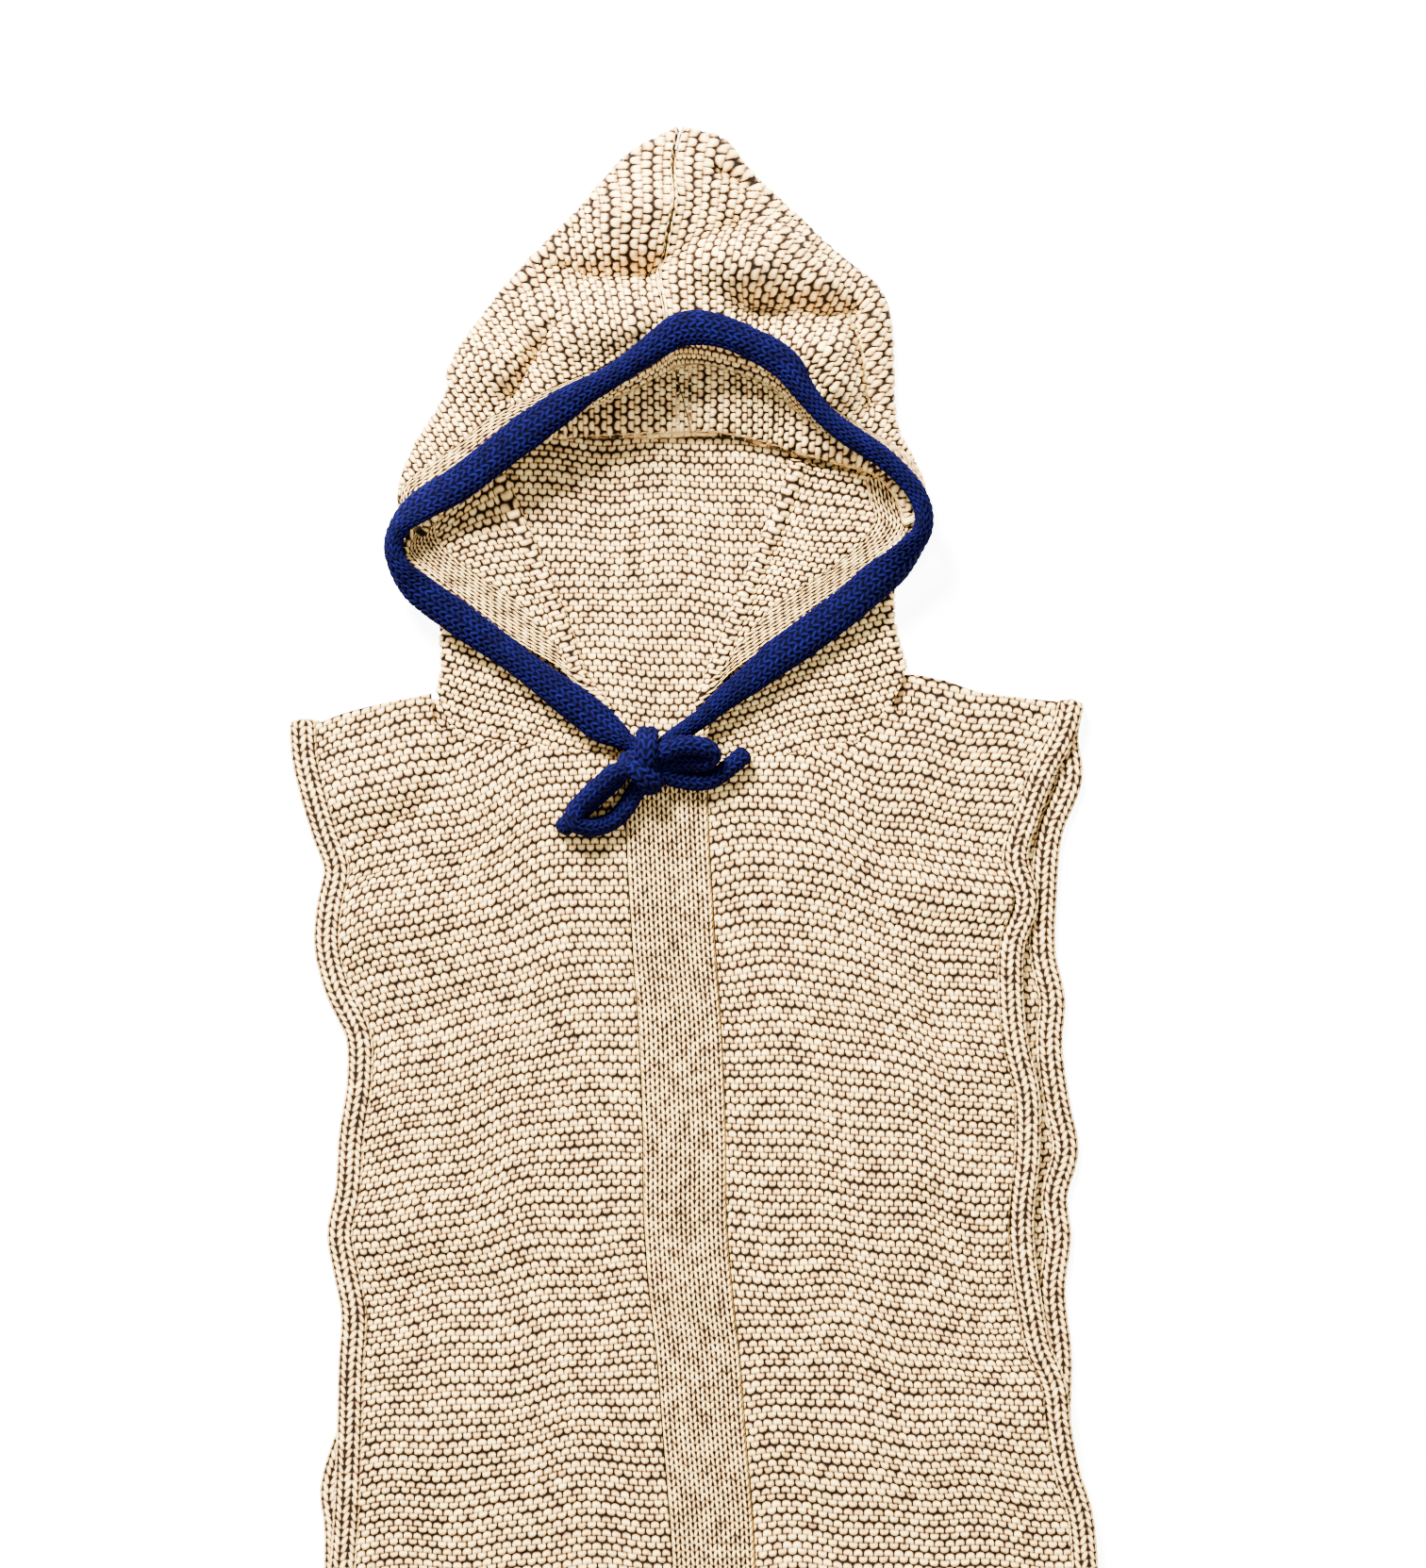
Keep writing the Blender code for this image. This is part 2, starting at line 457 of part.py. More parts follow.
def sheet(name, columns, rows, place, material, collection, wall=CLOTH):
    """A knitted panel: a grid laid on its underside, place(u, v) in millimetres, with a wall upwards."""
    grid = bmesh.new()
    bmesh.ops.create_grid(grid, x_segments=columns, y_segments=rows, size=0.5)
    flat = np.array([vertex.co for vertex in grid.verts])
    placed = place(flat[:, 0] + 0.5, flat[:, 1] + 0.5)
    for vertex, point in zip(grid.verts, placed):
        vertex.co = Vector(point) * MM
    bmesh.ops.recalc_face_normals(grid, faces=grid.faces)
    if sum(face.normal.z for face in grid.faces) < 0:
        bmesh.ops.reverse_faces(grid, faces=grid.faces)
    mesh = bpy.data.meshes.new(name)
    grid.to_mesh(mesh)
    grid.free()
    thing = add(name, mesh, material, collection)
    solidify = thing.modifiers.new("wall", "SOLIDIFY")
    solidify.thickness = wall * MM
    solidify.offset = 1.0
    return thing


def swept(name, route, count, height, sides, material, collection):
    """A flattened round bar along route(share): x, y, z, the turn of its flat side and its width."""
    stops = route(np.linspace(0, 1, count))
    middle = stops[:, :3]
    ahead = np.gradient(middle, axis=0)
    ahead /= np.linalg.norm(ahead, axis=1)[:, None]
    aside = np.cross([0, 0, 1], ahead)
    aside /= np.linalg.norm(aside, axis=1)[:, None]
    up = np.cross(ahead, aside)
    turn = np.radians(stops[:, 3])[:, None]
    wide = stops[:, 4]
    flat = np.cos(turn) * aside - np.sin(turn) * up
    thick = np.cos(turn) * up + np.sin(turn) * aside
    tube = bmesh.new()
    bmesh.ops.create_cone(tube, cap_ends=True, segments=sides, radius1=1, radius2=1, depth=1)
    around = [edge for edge in tube.edges if abs(edge.verts[0].co.z - edge.verts[1].co.z) > 0.5]
    bmesh.ops.subdivide_edges(tube, edges=around, cuts=count - 2, use_grid_fill=True)
    for vertex in tube.verts:
        ring = int(round((vertex.co.z + 0.5) * (count - 1)))
        angle = math.atan2(vertex.co.y, vertex.co.x)
        offset = flat[ring] * math.cos(angle) * wide[ring] / 2 + thick[ring] * math.sin(angle) * height / 2
        vertex.co = Vector(middle[ring] + offset) * MM
    mesh = bpy.data.meshes.new(name)
    tube.to_mesh(mesh)
    tube.free()
    return add(name, mesh, material, collection)


def cord(name, rows, points, material, collection):
    """A free end or loop of the tie: a round cord through its stops."""
    curve = bpy.data.curves.new(name, "CURVE")
    curve.dimensions = "3D"
    curve.bevel_depth = CORD_DIAMETER / 2 * MM
    curve.bevel_resolution = 2
    curve.use_fill_caps = True
    spline = curve.splines.new("POLY")
    spline.points.add(points - 1)
    for point, place in zip(spline.points, line(rows)(np.linspace(0, 1, points))):
        point.co = (*(place * MM), 1.0)
    curve.materials.append(material)
    thing = bpy.data.objects.new(name, curve)
    collection.objects.link(thing)
    return thing


# ---------------------------------------------------------------- the garment's pieces
def strip_side(side, gap=0.0):
    """A side of the front's stockinette strip, from the hem up."""
    return upright(STRIP_MIDDLE, HEM_Y, STRIP_MIDDLE[-1].y, side * (STRIP_WIDTH / 2 + gap))


def right_neckline():
    return [RIGHT_SHOULDER[-1], *RIGHT_FRONT_NECK, Spot(*strip_side(-1, SEAM)(1.0))]


def left_neckline():
    return [Spot(*strip_side(1, SEAM)(1.0)), *LEFT_FRONT_NECK, LEFT_SHOULDER[0]]


def back_neckline():
    return [RIGHT_SHOULDER[-1], *BACK_NECK, LEFT_SHOULDER[0]]


def hood_neck_edge(neckline):
    """The hood's own edge along a neckline, a seam's clearance away from it."""
    neck = line(neckline)

    def read(share):
        flat = neck(share)
        x, y = flat[..., 0], flat[..., 1]
        return np.stack([x - 2 * SEAM * x / 130, y + SEAM], axis=-1)

    return read


def make_back(beige, collection):
    inset = BAND_WIDTH + SEAM
    right = upright(RIGHT_BACK_EDGE, HEM_Y + 2, RIGHT_BACK_EDGE[-1].y, inset)
    left = upright(LEFT_BACK_EDGE, HEM_Y + 2, LEFT_BACK_EDGE[-1].y, -inset)
    hem = line([Spot(*right(0.0)), Spot(0, HEM_Y + 2), Spot(*left(0.0))])
    shoulders_and_neck = broken_line(
        ([Spot(*right(1.0)), *RIGHT_SHOULDER[1:]], SHOULDER_COLUMNS),
        (back_neckline(), BACK_NECK_COLUMNS),
        ([*LEFT_SHOULDER[:-1], Spot(*left(1.0))], SHOULDER_COLUMNS),
    )
    plan = patch(hem, shoulders_and_neck, right, left)

    def place(u, v):
        flat = plan(u, v)
        return np.concatenate([flat, np.zeros_like(flat[..., :1])], axis=-1)

    sheet("back", 2 * SHOULDER_COLUMNS + BACK_NECK_COLUMNS, BODY_ROWS, place, beige, collection)


def on_front(plan):
    """A flat plan laid on the fronts' swell."""

    def place(u, v):
        flat = plan(u, v)
        height = front_height(flat[..., 0], flat[..., 1])
        return np.concatenate([flat, height[..., None]], axis=-1)

    return place


def make_fronts(beige, collection):
    inset = BAND_WIDTH + SEAM
    columns = SHOULDER_COLUMNS + FRONT_NECK_COLUMNS
    outer = upright(RIGHT_FRONT_EDGE, HEM_Y, RIGHT_FRONT_EDGE[-1].y, inset)
    inner = strip_side(-1, SEAM)
    hem = line([Spot(*outer(0.0)), Spot(-100, HEM_Y), Spot(*inner(0.0))])
    top = broken_line(
        ([Spot(*outer(1.0)), *RIGHT_SHOULDER[1:]], SHOULDER_COLUMNS),
        (right_neckline(), FRONT_NECK_COLUMNS),
    )
    sheet("front_right", columns, BODY_ROWS, on_front(patch(hem, top, outer, inner)), beige, collection)

    outer = upright(LEFT_FRONT_EDGE, HEM_Y, LEFT_FRONT_EDGE[-1].y, -inset)
    inner = strip_side(1, SEAM)
    hem = line([Spot(*inner(0.0)), Spot(110, HEM_Y), Spot(*outer(0.0))])
    top = broken_line(
        (left_neckline(), FRONT_NECK_COLUMNS),
        ([*LEFT_SHOULDER[:-1], Spot(*outer(1.0))], SHOULDER_COLUMNS),
    )
    sheet("front_left", columns, BODY_ROWS, on_front(patch(hem, top, inner, outer)), beige, collection)


def make_strip(beige, collection):
    right, left = strip_side(-1), strip_side(1)
    hem = line([Spot(*right(0.0)), Spot(*left(0.0))])
    top = line([Spot(*right(1.0)), Spot(*left(1.0))])
    sheet("front_strip", 3, BODY_ROWS, on_front(patch(hem, top, right, left)), beige, collection)


def make_band(name, edge, side, z, beige, collection):
    """A stockinette band that runs the whole height of a side edge."""
    read = upright(edge, edge[0].y, edge[-1].y, -side * BAND_WIDTH / 2)

    def route(share):
        constants = np.tile([z, 0.0, BAND_WIDTH], (len(share), 1))
        return np.column_stack([read(share), constants])

    swept(name, route, BODY_ROWS + 1, BAND_HEIGHT, 6, beige, collection)


def inside_folds(neck_end, rows):
    """The hood's outline, moved in to lie inside the folds of the layer above."""
    middle = HOOD_TIP[1].x
    inset = [
        Spot(middle + (row.x - middle) * HOOD_INSET, row.y - TIP_INSET * max(row.y - CROWN_FOOT_Y, 0))
        for row in rows
    ]
    return [Spot(*neck_end), *inset]


def make_hood_back(beige, collection):
    neck = facets(hood_neck_edge(back_neckline()), BACK_NECK_COLUMNS, BACK_STOPS)
    right = inside_folds(neck(0.0), RIGHT_HOOD_SIDE)
    left = inside_folds(neck(1.0), LEFT_HOOD_SIDE)
    tip = inside_folds(right[-1], HOOD_TIP)
    plan = patch(neck, line([*tip, left[-1]]), line(right), line(left))

    def place(u, v):
        flat = plan(u, v)
        return np.concatenate([flat, np.zeros_like(flat[..., :1])], axis=-1)

    sheet("hood_back", BACK_NECK_COLUMNS, 14, place, beige, collection)


def make_hood_necks(beige, collection):
    """The hood's fronts between neckline and edging, outer side up."""
    edge = hood_neck_edge(right_neckline())
    outline = [Spot(*edge(0.0)), Spot(-132.9, 164), Spot(-132.9, 180), Spot(-132.9, 204)]
    inner = [Spot(*edge(1.0)), *RIGHT_NECK_INNER]
    place = neck_place(outline, inner, edge, False)
    sheet("hood_neck_right", len(NECK_STOPS) - 1, 5, place, beige, collection)
    edge = hood_neck_edge(left_neckline())
    outline = [Spot(*edge(1.0)), Spot(105, 186), Spot(103.6, 210)]
    inner = [Spot(*edge(0.0)), *LEFT_NECK_INNER]
    place = neck_place(outline, inner, edge, True)
    sheet("hood_neck_left", len(NECK_STOPS) - 1, 5, place, beige, collection)


def make_hood_inside(side, rows, beige, collection):
    """The inner side of a hood half, and the band along its edging."""
    place = lapel_place(rows)

    def band(u, v):
        return place(u * inner_band_share(rows, v), v)

    def garter(u, v):
        start = inner_band_share(rows, v) + BAND_GAP
        return place(start + (1 - start) * u, v)

    sheet("hood_band_inside_" + side, 3, 11, band, beige, collection)
    sheet("hood_inside_" + side, 5, 11, garter, beige, collection)


def make_hood_crown(side, rows, beige, collection):
    """A half of the hood over the crown, and the band that ends it under the edging."""
    place = crown_place(rows)

    def garter(s, t):
        return place(s, (outer_band_share(rows, s) - BAND_GAP) * t)

    def band(s, t):
        start = outer_band_share(rows, s)
        return place(s, start + (1 - start) * t)

    sheet("hood_crown_" + side, 16, 12, garter, beige, collection)
    sheet("hood_band_" + side, 16, 6, band, beige, collection)


def make_hood(beige, collection):
    make_hood_back(beige, collection)
    make_hood_necks(beige, collection)
    for side, rows in (("right", RIGHT_LAPEL), ("left", LEFT_LAPEL)):
        make_hood_inside(side, rows, beige, collection)
    for side, rows in (("right", RIGHT_CROWN), ("left", LEFT_CROWN)):
        make_hood_crown(side, rows, beige, collection)


def make_edging(blue, collection):
    swept("hood_edging", line(EDGING_ROUTE), 62, EDGING_HEIGHT, 8, blue, collection)


def make_knot(blue, collection):
    ball = bmesh.new()
    bmesh.ops.create_uvsphere(ball, u_segments=12, v_segments=8, radius=0.5)
    for vertex in ball.verts:
        size = Vector(KNOT_SIZE)
        vertex.co = (Vector(KNOT_MIDDLE) + vertex.co * size) * MM
    mesh = bpy.data.meshes.new("tie_knot")
    ball.to_mesh(mesh)
    ball.free()
    add("tie_knot", mesh, blue, collection)


def make_tie(blue, collection):
    """The knot and the bow's loops and free ends."""
    make_knot(blue, collection)
    cord("tie_loop_right", RIGHT_LOOP, 20, blue, collection)
    cord("tie_end_right", RIGHT_END, 10, blue, collection)
    cord("tie_loop_left", LEFT_LOOP, 16, blue, collection)
    cord("tie_end_left", LEFT_END, 12, blue, collection)


def main():
    clear_scene()
    collection = make_collection("hooded_vest")
    beige = yarn("beige_cotton", (0.74, 0.58, 0.39), 0.9)
    blue = yarn("navy_cotton", (0.012, 0.02, 0.2), 0.85)
    make_back(beige, collection)
    make_fronts(beige, collection)
    make_strip(beige, collection)
    make_band("back_band_right", RIGHT_BACK_EDGE, -1, BACK_BAND_Z, beige, collection)
    make_band("back_band_left", LEFT_BACK_EDGE, 1, BACK_BAND_Z, beige, collection)
    make_band("front_band_right", RIGHT_FRONT_EDGE, -1, FRONT_BAND_Z, beige, collection)
    make_band("front_band_left", LEFT_FRONT_EDGE, 1, FRONT_BAND_Z, beige, collection)
    make_hood(beige, collection)
    make_edging(blue, collection)
    make_tie(blue, collection)


main()
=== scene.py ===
# %% [markdown]
# # A hooded knitted vest, laid flat
# The vest is knitted by hand in thick cotton. Its body and hood are garter stitch, its front strip
# and its narrow side bands are stockinette, and a dark blue knitted tube runs round the hood's
# mouth and is tied in a bow at the neck. It lies on its back with the hood's mouth facing up.
# Every stitch that the camera sees is modelled: a panel is a slab whose upper side is divided
# finely and raised by the stitch's own shape.

# %% The shared frame
import math
from collections import namedtuple

import bmesh
import bpy
import numpy as np
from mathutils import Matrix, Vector


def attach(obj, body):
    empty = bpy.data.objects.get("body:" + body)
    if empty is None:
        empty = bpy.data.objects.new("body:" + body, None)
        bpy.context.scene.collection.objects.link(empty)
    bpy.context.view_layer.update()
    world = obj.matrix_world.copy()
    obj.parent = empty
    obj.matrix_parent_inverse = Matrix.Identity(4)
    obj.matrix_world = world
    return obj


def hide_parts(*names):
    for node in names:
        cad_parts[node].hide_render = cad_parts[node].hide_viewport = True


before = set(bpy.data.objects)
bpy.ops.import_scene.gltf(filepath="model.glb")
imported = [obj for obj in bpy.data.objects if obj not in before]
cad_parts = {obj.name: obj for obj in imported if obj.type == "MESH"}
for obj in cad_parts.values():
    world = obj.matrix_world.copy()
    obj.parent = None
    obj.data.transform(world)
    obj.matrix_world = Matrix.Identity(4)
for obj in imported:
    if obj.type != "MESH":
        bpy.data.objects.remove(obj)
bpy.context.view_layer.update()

MM = 0.001  # a millimetre in metres; every table below is in millimetres


# %% [markdown]
# ## The camera
# The garment was photographed from straight above. A long lens from high up keeps the raised
# edging over its own place, as a real product photo does. A short lens would spread the hood.

# %% Camera
FRAME_MIDDLE = (9.75, 104.25)  # what the middle of the picture looks at
FRAME_HEIGHT = 831.5
CAMERA_HEIGHT = 2600.0
FOCUS_HEIGHT = 8.0  # the height of the cloth that is framed exactly


def add_object(name, data):
    thing = bpy.data.objects.new(name, data)
    bpy.context.scene.collection.objects.link(thing)
    return thing


camera_data = bpy.data.cameras.new("camera")
camera_data.sensor_width = 36.0
camera_data.lens = camera_data.sensor_width * (CAMERA_HEIGHT - FOCUS_HEIGHT) / FRAME_HEIGHT
camera = add_object("camera", camera_data)
camera.location = Vector((*FRAME_MIDDLE, CAMERA_HEIGHT)) * MM
bpy.context.scene.camera = camera
print("lens", round(camera_data.lens, 1), "mm")

# %% [markdown]
# ## Reading the tables
# The shapes are stated as short tables of measured places, read with smooth curves. They could be
# long lists of points, but a few named places are easier to check on the garment and to change.

# %% Tables and lines
Edge = namedtuple("Edge", "y x")
Spot = namedtuple("Spot", "x y")
Stop = namedtuple("Stop", "x y z turn width")
Knot = namedtuple("Knot", "x y z")
Fold = namedtuple("Fold", "x1 y1 x2 y2 height width")
Section = namedtuple("Section", "fold_x fold_y fold_z rim_x rim_y rim_z end_x end_y end_z")
Lapel = namedtuple("Lapel", "ridge_x ridge_y rim_x rim_y rim_z")


def table(kind, *places):
    """A table whose rows have the kind's named columns."""
    return [kind(*place) for place in places]


def smooth(at, values, places):
    """Reads a table's column at any place, with a smooth curve through its rows."""
    at, values = np.asarray(at, float), np.asarray(values, float)
    slopes = np.gradient(values, at)
    places = np.clip(places, at[0], at[-1])
    row = np.clip(np.searchsorted(at, places, side="right") - 1, 0, len(at) - 2)
    step = at[row + 1] - at[row]
    t = (places - at[row]) / step
    start = (1 + 2 * t) * (1 - t) ** 2 * values[row] + t * (1 - t) ** 2 * step * slopes[row]
    stop = t * t * (3 - 2 * t) * values[row + 1] + t * t * (t - 1) * step * slopes[row + 1]
    return start + stop


def line(rows):
    """A smooth line through a table's rows, as a function of the share of its length."""
    points = np.array([list(row) for row in rows], float)
    steps = np.linalg.norm(np.diff(points[:, :3], axis=0), axis=1)
    at = np.concatenate([[0.0], np.cumsum(steps)]) / steps.sum()

    def read(share):
        return np.stack([smooth(at, column, share) for column in points.T], axis=-1)

    return read


def straight(a, b):
    return line([Spot(*a), Spot(*b)])


def upright(rows, bottom_y, top_y, aside=0.0):
    """A side edge from its table, between two heights, moved aside along X."""
    ys, xs = [row.y for row in rows], [row.x for row in rows]

    def read(share):
        y = bottom_y + (top_y - bottom_y) * np.asarray(share, float)
        return np.stack([smooth(ys, xs, y) + aside, y], axis=-1)

    return read


def read_rows(rows, share):
    """All columns of a table at a share of its rows."""
    at = np.linspace(0, 1, len(rows))
    return [smooth(at, column, share) for column in np.array(rows, float).T]

# %% [markdown]
# A panel is the surface inside four such lines. Soft folds are added to its height as ridges and
# troughs that fade out sideways, which is how thick knitting bends: it never creases sharply.

# %% Surfaces and folds
def patch(bottom, top, left, right):
    """The flat place of (u, v) inside four border lines that meet at their ends."""

    def read(u, v):
        across, up = u[..., None], v[..., None]
        corners = (1 - up) * ((1 - across) * bottom(u * 0) + across * bottom(u * 0 + 1))
        corners += up * ((1 - across) * top(u * 0) + across * top(u * 0 + 1))
        sides = (1 - across) * left(v) + across * right(v)
        return (1 - up) * bottom(u) + up * top(u) + sides - corners

    return read


def on_floor(plan):
    """A flat plan as an underside that lies on the floor."""

    def surface(u, v):
        return np.column_stack([plan(u, v), 0 * u])

    return surface


def folds_height(folds, x, y):
    """The sum of soft ridges and troughs at (x, y)."""
    height = np.zeros_like(x)
    for fold in folds:
        ax, ay = fold.x2 - fold.x1, fold.y2 - fold.y1
        share = np.clip(((x - fold.x1) * ax + (y - fold.y1) * ay) / (ax * ax + ay * ay), 0, 1)
        apart = np.hypot(x - fold.x1 - share * ax, y - fold.y1 - share * ay)
        height += fold.height * np.exp(-((apart / fold.width) ** 2))
    return height


# %% [markdown]
# ## The bow's strands
# The edging's two ends are tied in a bow: a knot, two loops and two short free ends. Each strand is
# stated here as the line that its middle follows, from the knot outwards. A rope that is settled by
# simulation would not come to lie as this one does, so each line is measured on the garment.

# %% Strands of the bow
RIGHT_LOOP = table(
    Knot, (-34.2, 112, 24.6), (-41, 110.6, 25), (-49.3, 104, 25), (-56.8, 97, 24.8),
    (-62.6, 90, 24.6), (-63.3, 84.8, 24), (-56.6, 81.6, 20.4), (-48.4, 82.6, 15.8),
    (-41.8, 86, 14.6), (-36.4, 91.8, 14.6), (-31.8, 99.4, 15))
RIGHT_END = table(
    Knot, (-35.6, 113.4, 14.6), (-43.6, 105, 14.6), (-52, 97.6, 14.8), (-58.5, 91.5, 14.8),
    (-64.5, 86, 15), (-68.6, 81.8, 15.4), (-71.2, 78.4, 15.6))
LEFT_LOOP = table(
    Knot, (-14.2, 122.4, 25.2), (-8.2, 124.4, 26), (0.4, 124.6, 26), (6.4, 123, 24.6),
    (9.2, 119.6, 22), (6.2, 116.4, 19.8), (-0.6, 115.8, 18.4), (-7, 115.8, 18), (-13.4, 116, 18))
LEFT_END = table(
    Knot, (-16.2, 109, 16), (-9.4, 107.2, 14.8), (-1.4, 105.8, 14.2), (4.2, 105.8, 14.1),
    (10.4, 107.4, 14.1), (16.4, 111.6, 14.2), (22.6, 116.8, 14.3), (28.6, 121.4, 14.4))
print("the loops are stated at", len(RIGHT_LOOP), "and", len(LEFT_LOOP), "places")

# %% [markdown]
# ## Where the panels lie
# The garment is flat cloth in a few layers, so its pieces are stated as outlines seen from above,
# with the height of each layer. A cloth simulation would find folds of its own. These tables keep
# the waves of the side edges and the soft folds where the real ones lie.

# %% Sizes and outlines of the body
LAYER = 3.4  # the underside of a cloth that lies on another
SEAM = 0.4
HEM_Y = -454.0
BAND_WIDTH = 13.0
BAND_HEIGHT = 4.2
STRIP_WIDTH = 44.0
RIGHT_FRONT_EDGE = table(
    Edge, (HEM_Y, -199), (-380, -196.5), (-320, -193.5), (-281, -191), (-243, -189.5),
    (-205, -188.5), (-173, -187.5), (-153, -191.5), (-134, -194.5), (-113, -190.5), (-84, -188.5),
    (-50, -184), (-30, -184.5), (-4, -196), (20, -201.5), (40, -200), (60, -196.5), (78, -202.5),
    (98, -208.5), (120, -213.5), (137.5, -214.5))
RIGHT_BACK_EDGE = table(
    Edge, (HEM_Y + 2, -203), (-380, -200), (-315, -196.5), (-290, -196.5), (-270, -198.5),
    (-252, -194), (-236, -188), (-205, -185.5), (-170, -184.5), (-134, -189), (-84, -185.5),
    (-40, -181), (-4, -190), (20, -197), (60, -192.5), (98, -204), (120, -209), (137.5, -211.5))
LEFT_FRONT_EDGE = table(
    Edge, (HEM_Y, 214.5), (-390, 214), (-309, 213.5), (-282, 210.5), (-261, 204), (-237, 199.5),
    (-214, 196.5), (-196, 189), (-174, 184.5), (-131, 179.5), (-88, 183), (-60, 182.5),
    (-33, 176.5), (-5, 174), (20, 175), (42, 182), (66, 176.5), (89, 183), (113, 192), (132, 202),
    (148, 206.5))
LEFT_BACK_EDGE = table(
    Edge, (HEM_Y + 2, 211.5), (-390, 211), (-309, 210.5), (-282, 207.5), (-262, 204), (-240, 200),
    (-200, 200), (-164, 196.5), (-134, 199.5), (-116, 197.5), (-90, 203.5), (-66, 199), (-30, 195),
    (-12, 196.5), (14, 191.5), (44, 192), (80, 195.5), (108, 205.5), (130, 203.5), (148, 206.5))
# The middle of the front's stockinette strip, which leans a little.
STRIP_MIDDLE = table(
    Edge, (HEM_Y, 13), (-380, 12), (-295, 9.5), (-240, 5), (-200, 2), (-164, -2), (-125, -5),
    (-81, -5.5), (-31, -7.5), (19, -11), (69, -14), (115, -15.5))
RIGHT_SHOULDER = table(Spot, (-188.5, 138), (-178.5, 142), (-160, 146), (-136, 149.5))
LEFT_SHOULDER = table(Spot, (112, 162.5), (131.5, 159.5), (151.5, 152.5), (170, 150.5))
RIGHT_FRONT_NECK = table(Spot, (-132, 138), (-124, 129), (-103.5, 124.5), (-78, 121), (-52, 118))
LEFT_FRONT_NECK = table(Spot, (28, 115.5), (58, 118), (80, 123), (94, 131.5), (105, 147))
BACK_NECK = table(
    Spot, (-128, 137), (-100, 128), (-55, 122), (-8, 121), (40, 122), (76, 127), (100, 142))
FRONT_FOLDS = table(
    Fold, (-124, 120, -172, 62, -2.2, 10), (-196, 96, -150, 104, 2.6, 16),
    (-188, 24, -150, 36, 2.4, 17), (-176, -32, -120, -10, -1.4, 13),
    (-182, -134, -140, -128, 1.8, 18), (-180, -176, -130, -160, -1.2, 14),
    (-184, -262, -120, -240, 1.6, 22), (-90, 96, -40, 40, 1.4, 22),
    (-110, -160, -40, -168, -1.4, 16), (168, 44, 120, 50, 2.2, 15), (168, 66, 130, 84, -1.4, 10),
    (24, 40, 44, 16, -1.8, 12), (172, -34, 110, -60, 1.6, 18), (130, -120, 160, -180, -1.8, 13),
    (176, -132, 120, -100, 1.6, 16), (184, -226, 130, -250, 1.8, 20),
    (40, -280, 110, -300, -1.6, 20), (-20, -160, 24, -170, 1.2, 14), (90, 110, 60, 60, 1.5, 20),
    (60, -360, 130, -400, 1.6, 26), (-150, -370, -70, -395, 1.8, 26))
print("hem", LEFT_FRONT_EDGE[0].x - RIGHT_FRONT_EDGE[0].x, "mm wide")

# %% [markdown]
# The hood is deeper than it is wide, so it can't lie flat: its crown stands up over the mouth. Each
# half is stated as sections from the fold at the silhouette over the rim to where the cloth ends
# inside, and the turned-out part beside the mouth by its ridge and its rim.

# %% Outlines of the hood
# From the shoulder up to the hood's tip: the silhouette less the wall of the fold.
RIGHT_HOOD_SIDE = table(
    Spot, (-132.5, 170), (-132.5, 200), (-131.5, 260), (-130, 290), (-128, 314), (-126, 328),
    (-107, 348), (-91, 373), (-59, 404), (-31, 437))
LEFT_HOOD_SIDE = table(
    Spot, (104.5, 186), (103, 206), (103, 260), (102.5, 305), (102.5, 326), (101, 344), (93, 364),
    (69, 384), (41, 409), (17, 430))
HOOD_TIP = table(Spot, (-24, 444), (-10, 446), (2, 440))
CROWN_FOLDS = table(
    Fold, (-88, 372, -26, 372, -5.2, 10), (-22, 376, 22, 397, -3, 9),
    (-72, 342, -34, 346, 3.2, 12), (-74, 344, -96, 312, -4.2, 7), (-112, 330, -100, 318, 4, 12),
    (8, 384, 30, 376, 5, 13), (30, 356, 70, 352, -5, 10), (84, 354, 92, 306, -4.6, 6),
    (70, 330, 74, 316, 4, 12), (14, 428, 26, 420, -3.5, 5), (-40, 404, -16, 412, 3, 12),
    (48, 392, 66, 372, 3, 10))
RIGHT_CROWN = table(
    Section,
    (-154, 240, 11, -149, 238.5, 13, -145, 234, 12),
    (-156.5, 257, 10, -137, 254.5, 14, -133, 248, 12.5),
    (-152, 274, 7, -121, 265, 16, -117, 259, 14),
    (-143, 290, 1.5, -103, 278.5, 18, -99.5, 273, 15.5),
    (-130.5, 311, 0, -88, 290, 20, -85, 284, 15),
    (-128, 327, 0, -73, 300, 22, -73, 287.5, 5),
    (-113, 349.5, 0, -57.5, 310.3, 25, -57, 288.5, LAYER),
    (-93, 375, 0, -43, 318.3, 28, -41, 288.7, LAYER),
    (-63, 405.5, 0, -25, 330.3, 31, -21, 288.9, LAYER),
    (-34.5, 437, 0, -15, 337.7, 33, -7, 289.2, LAYER),
    (-8, 451.6, 0, -10, 341, 33, -2, 289.5, LAYER))
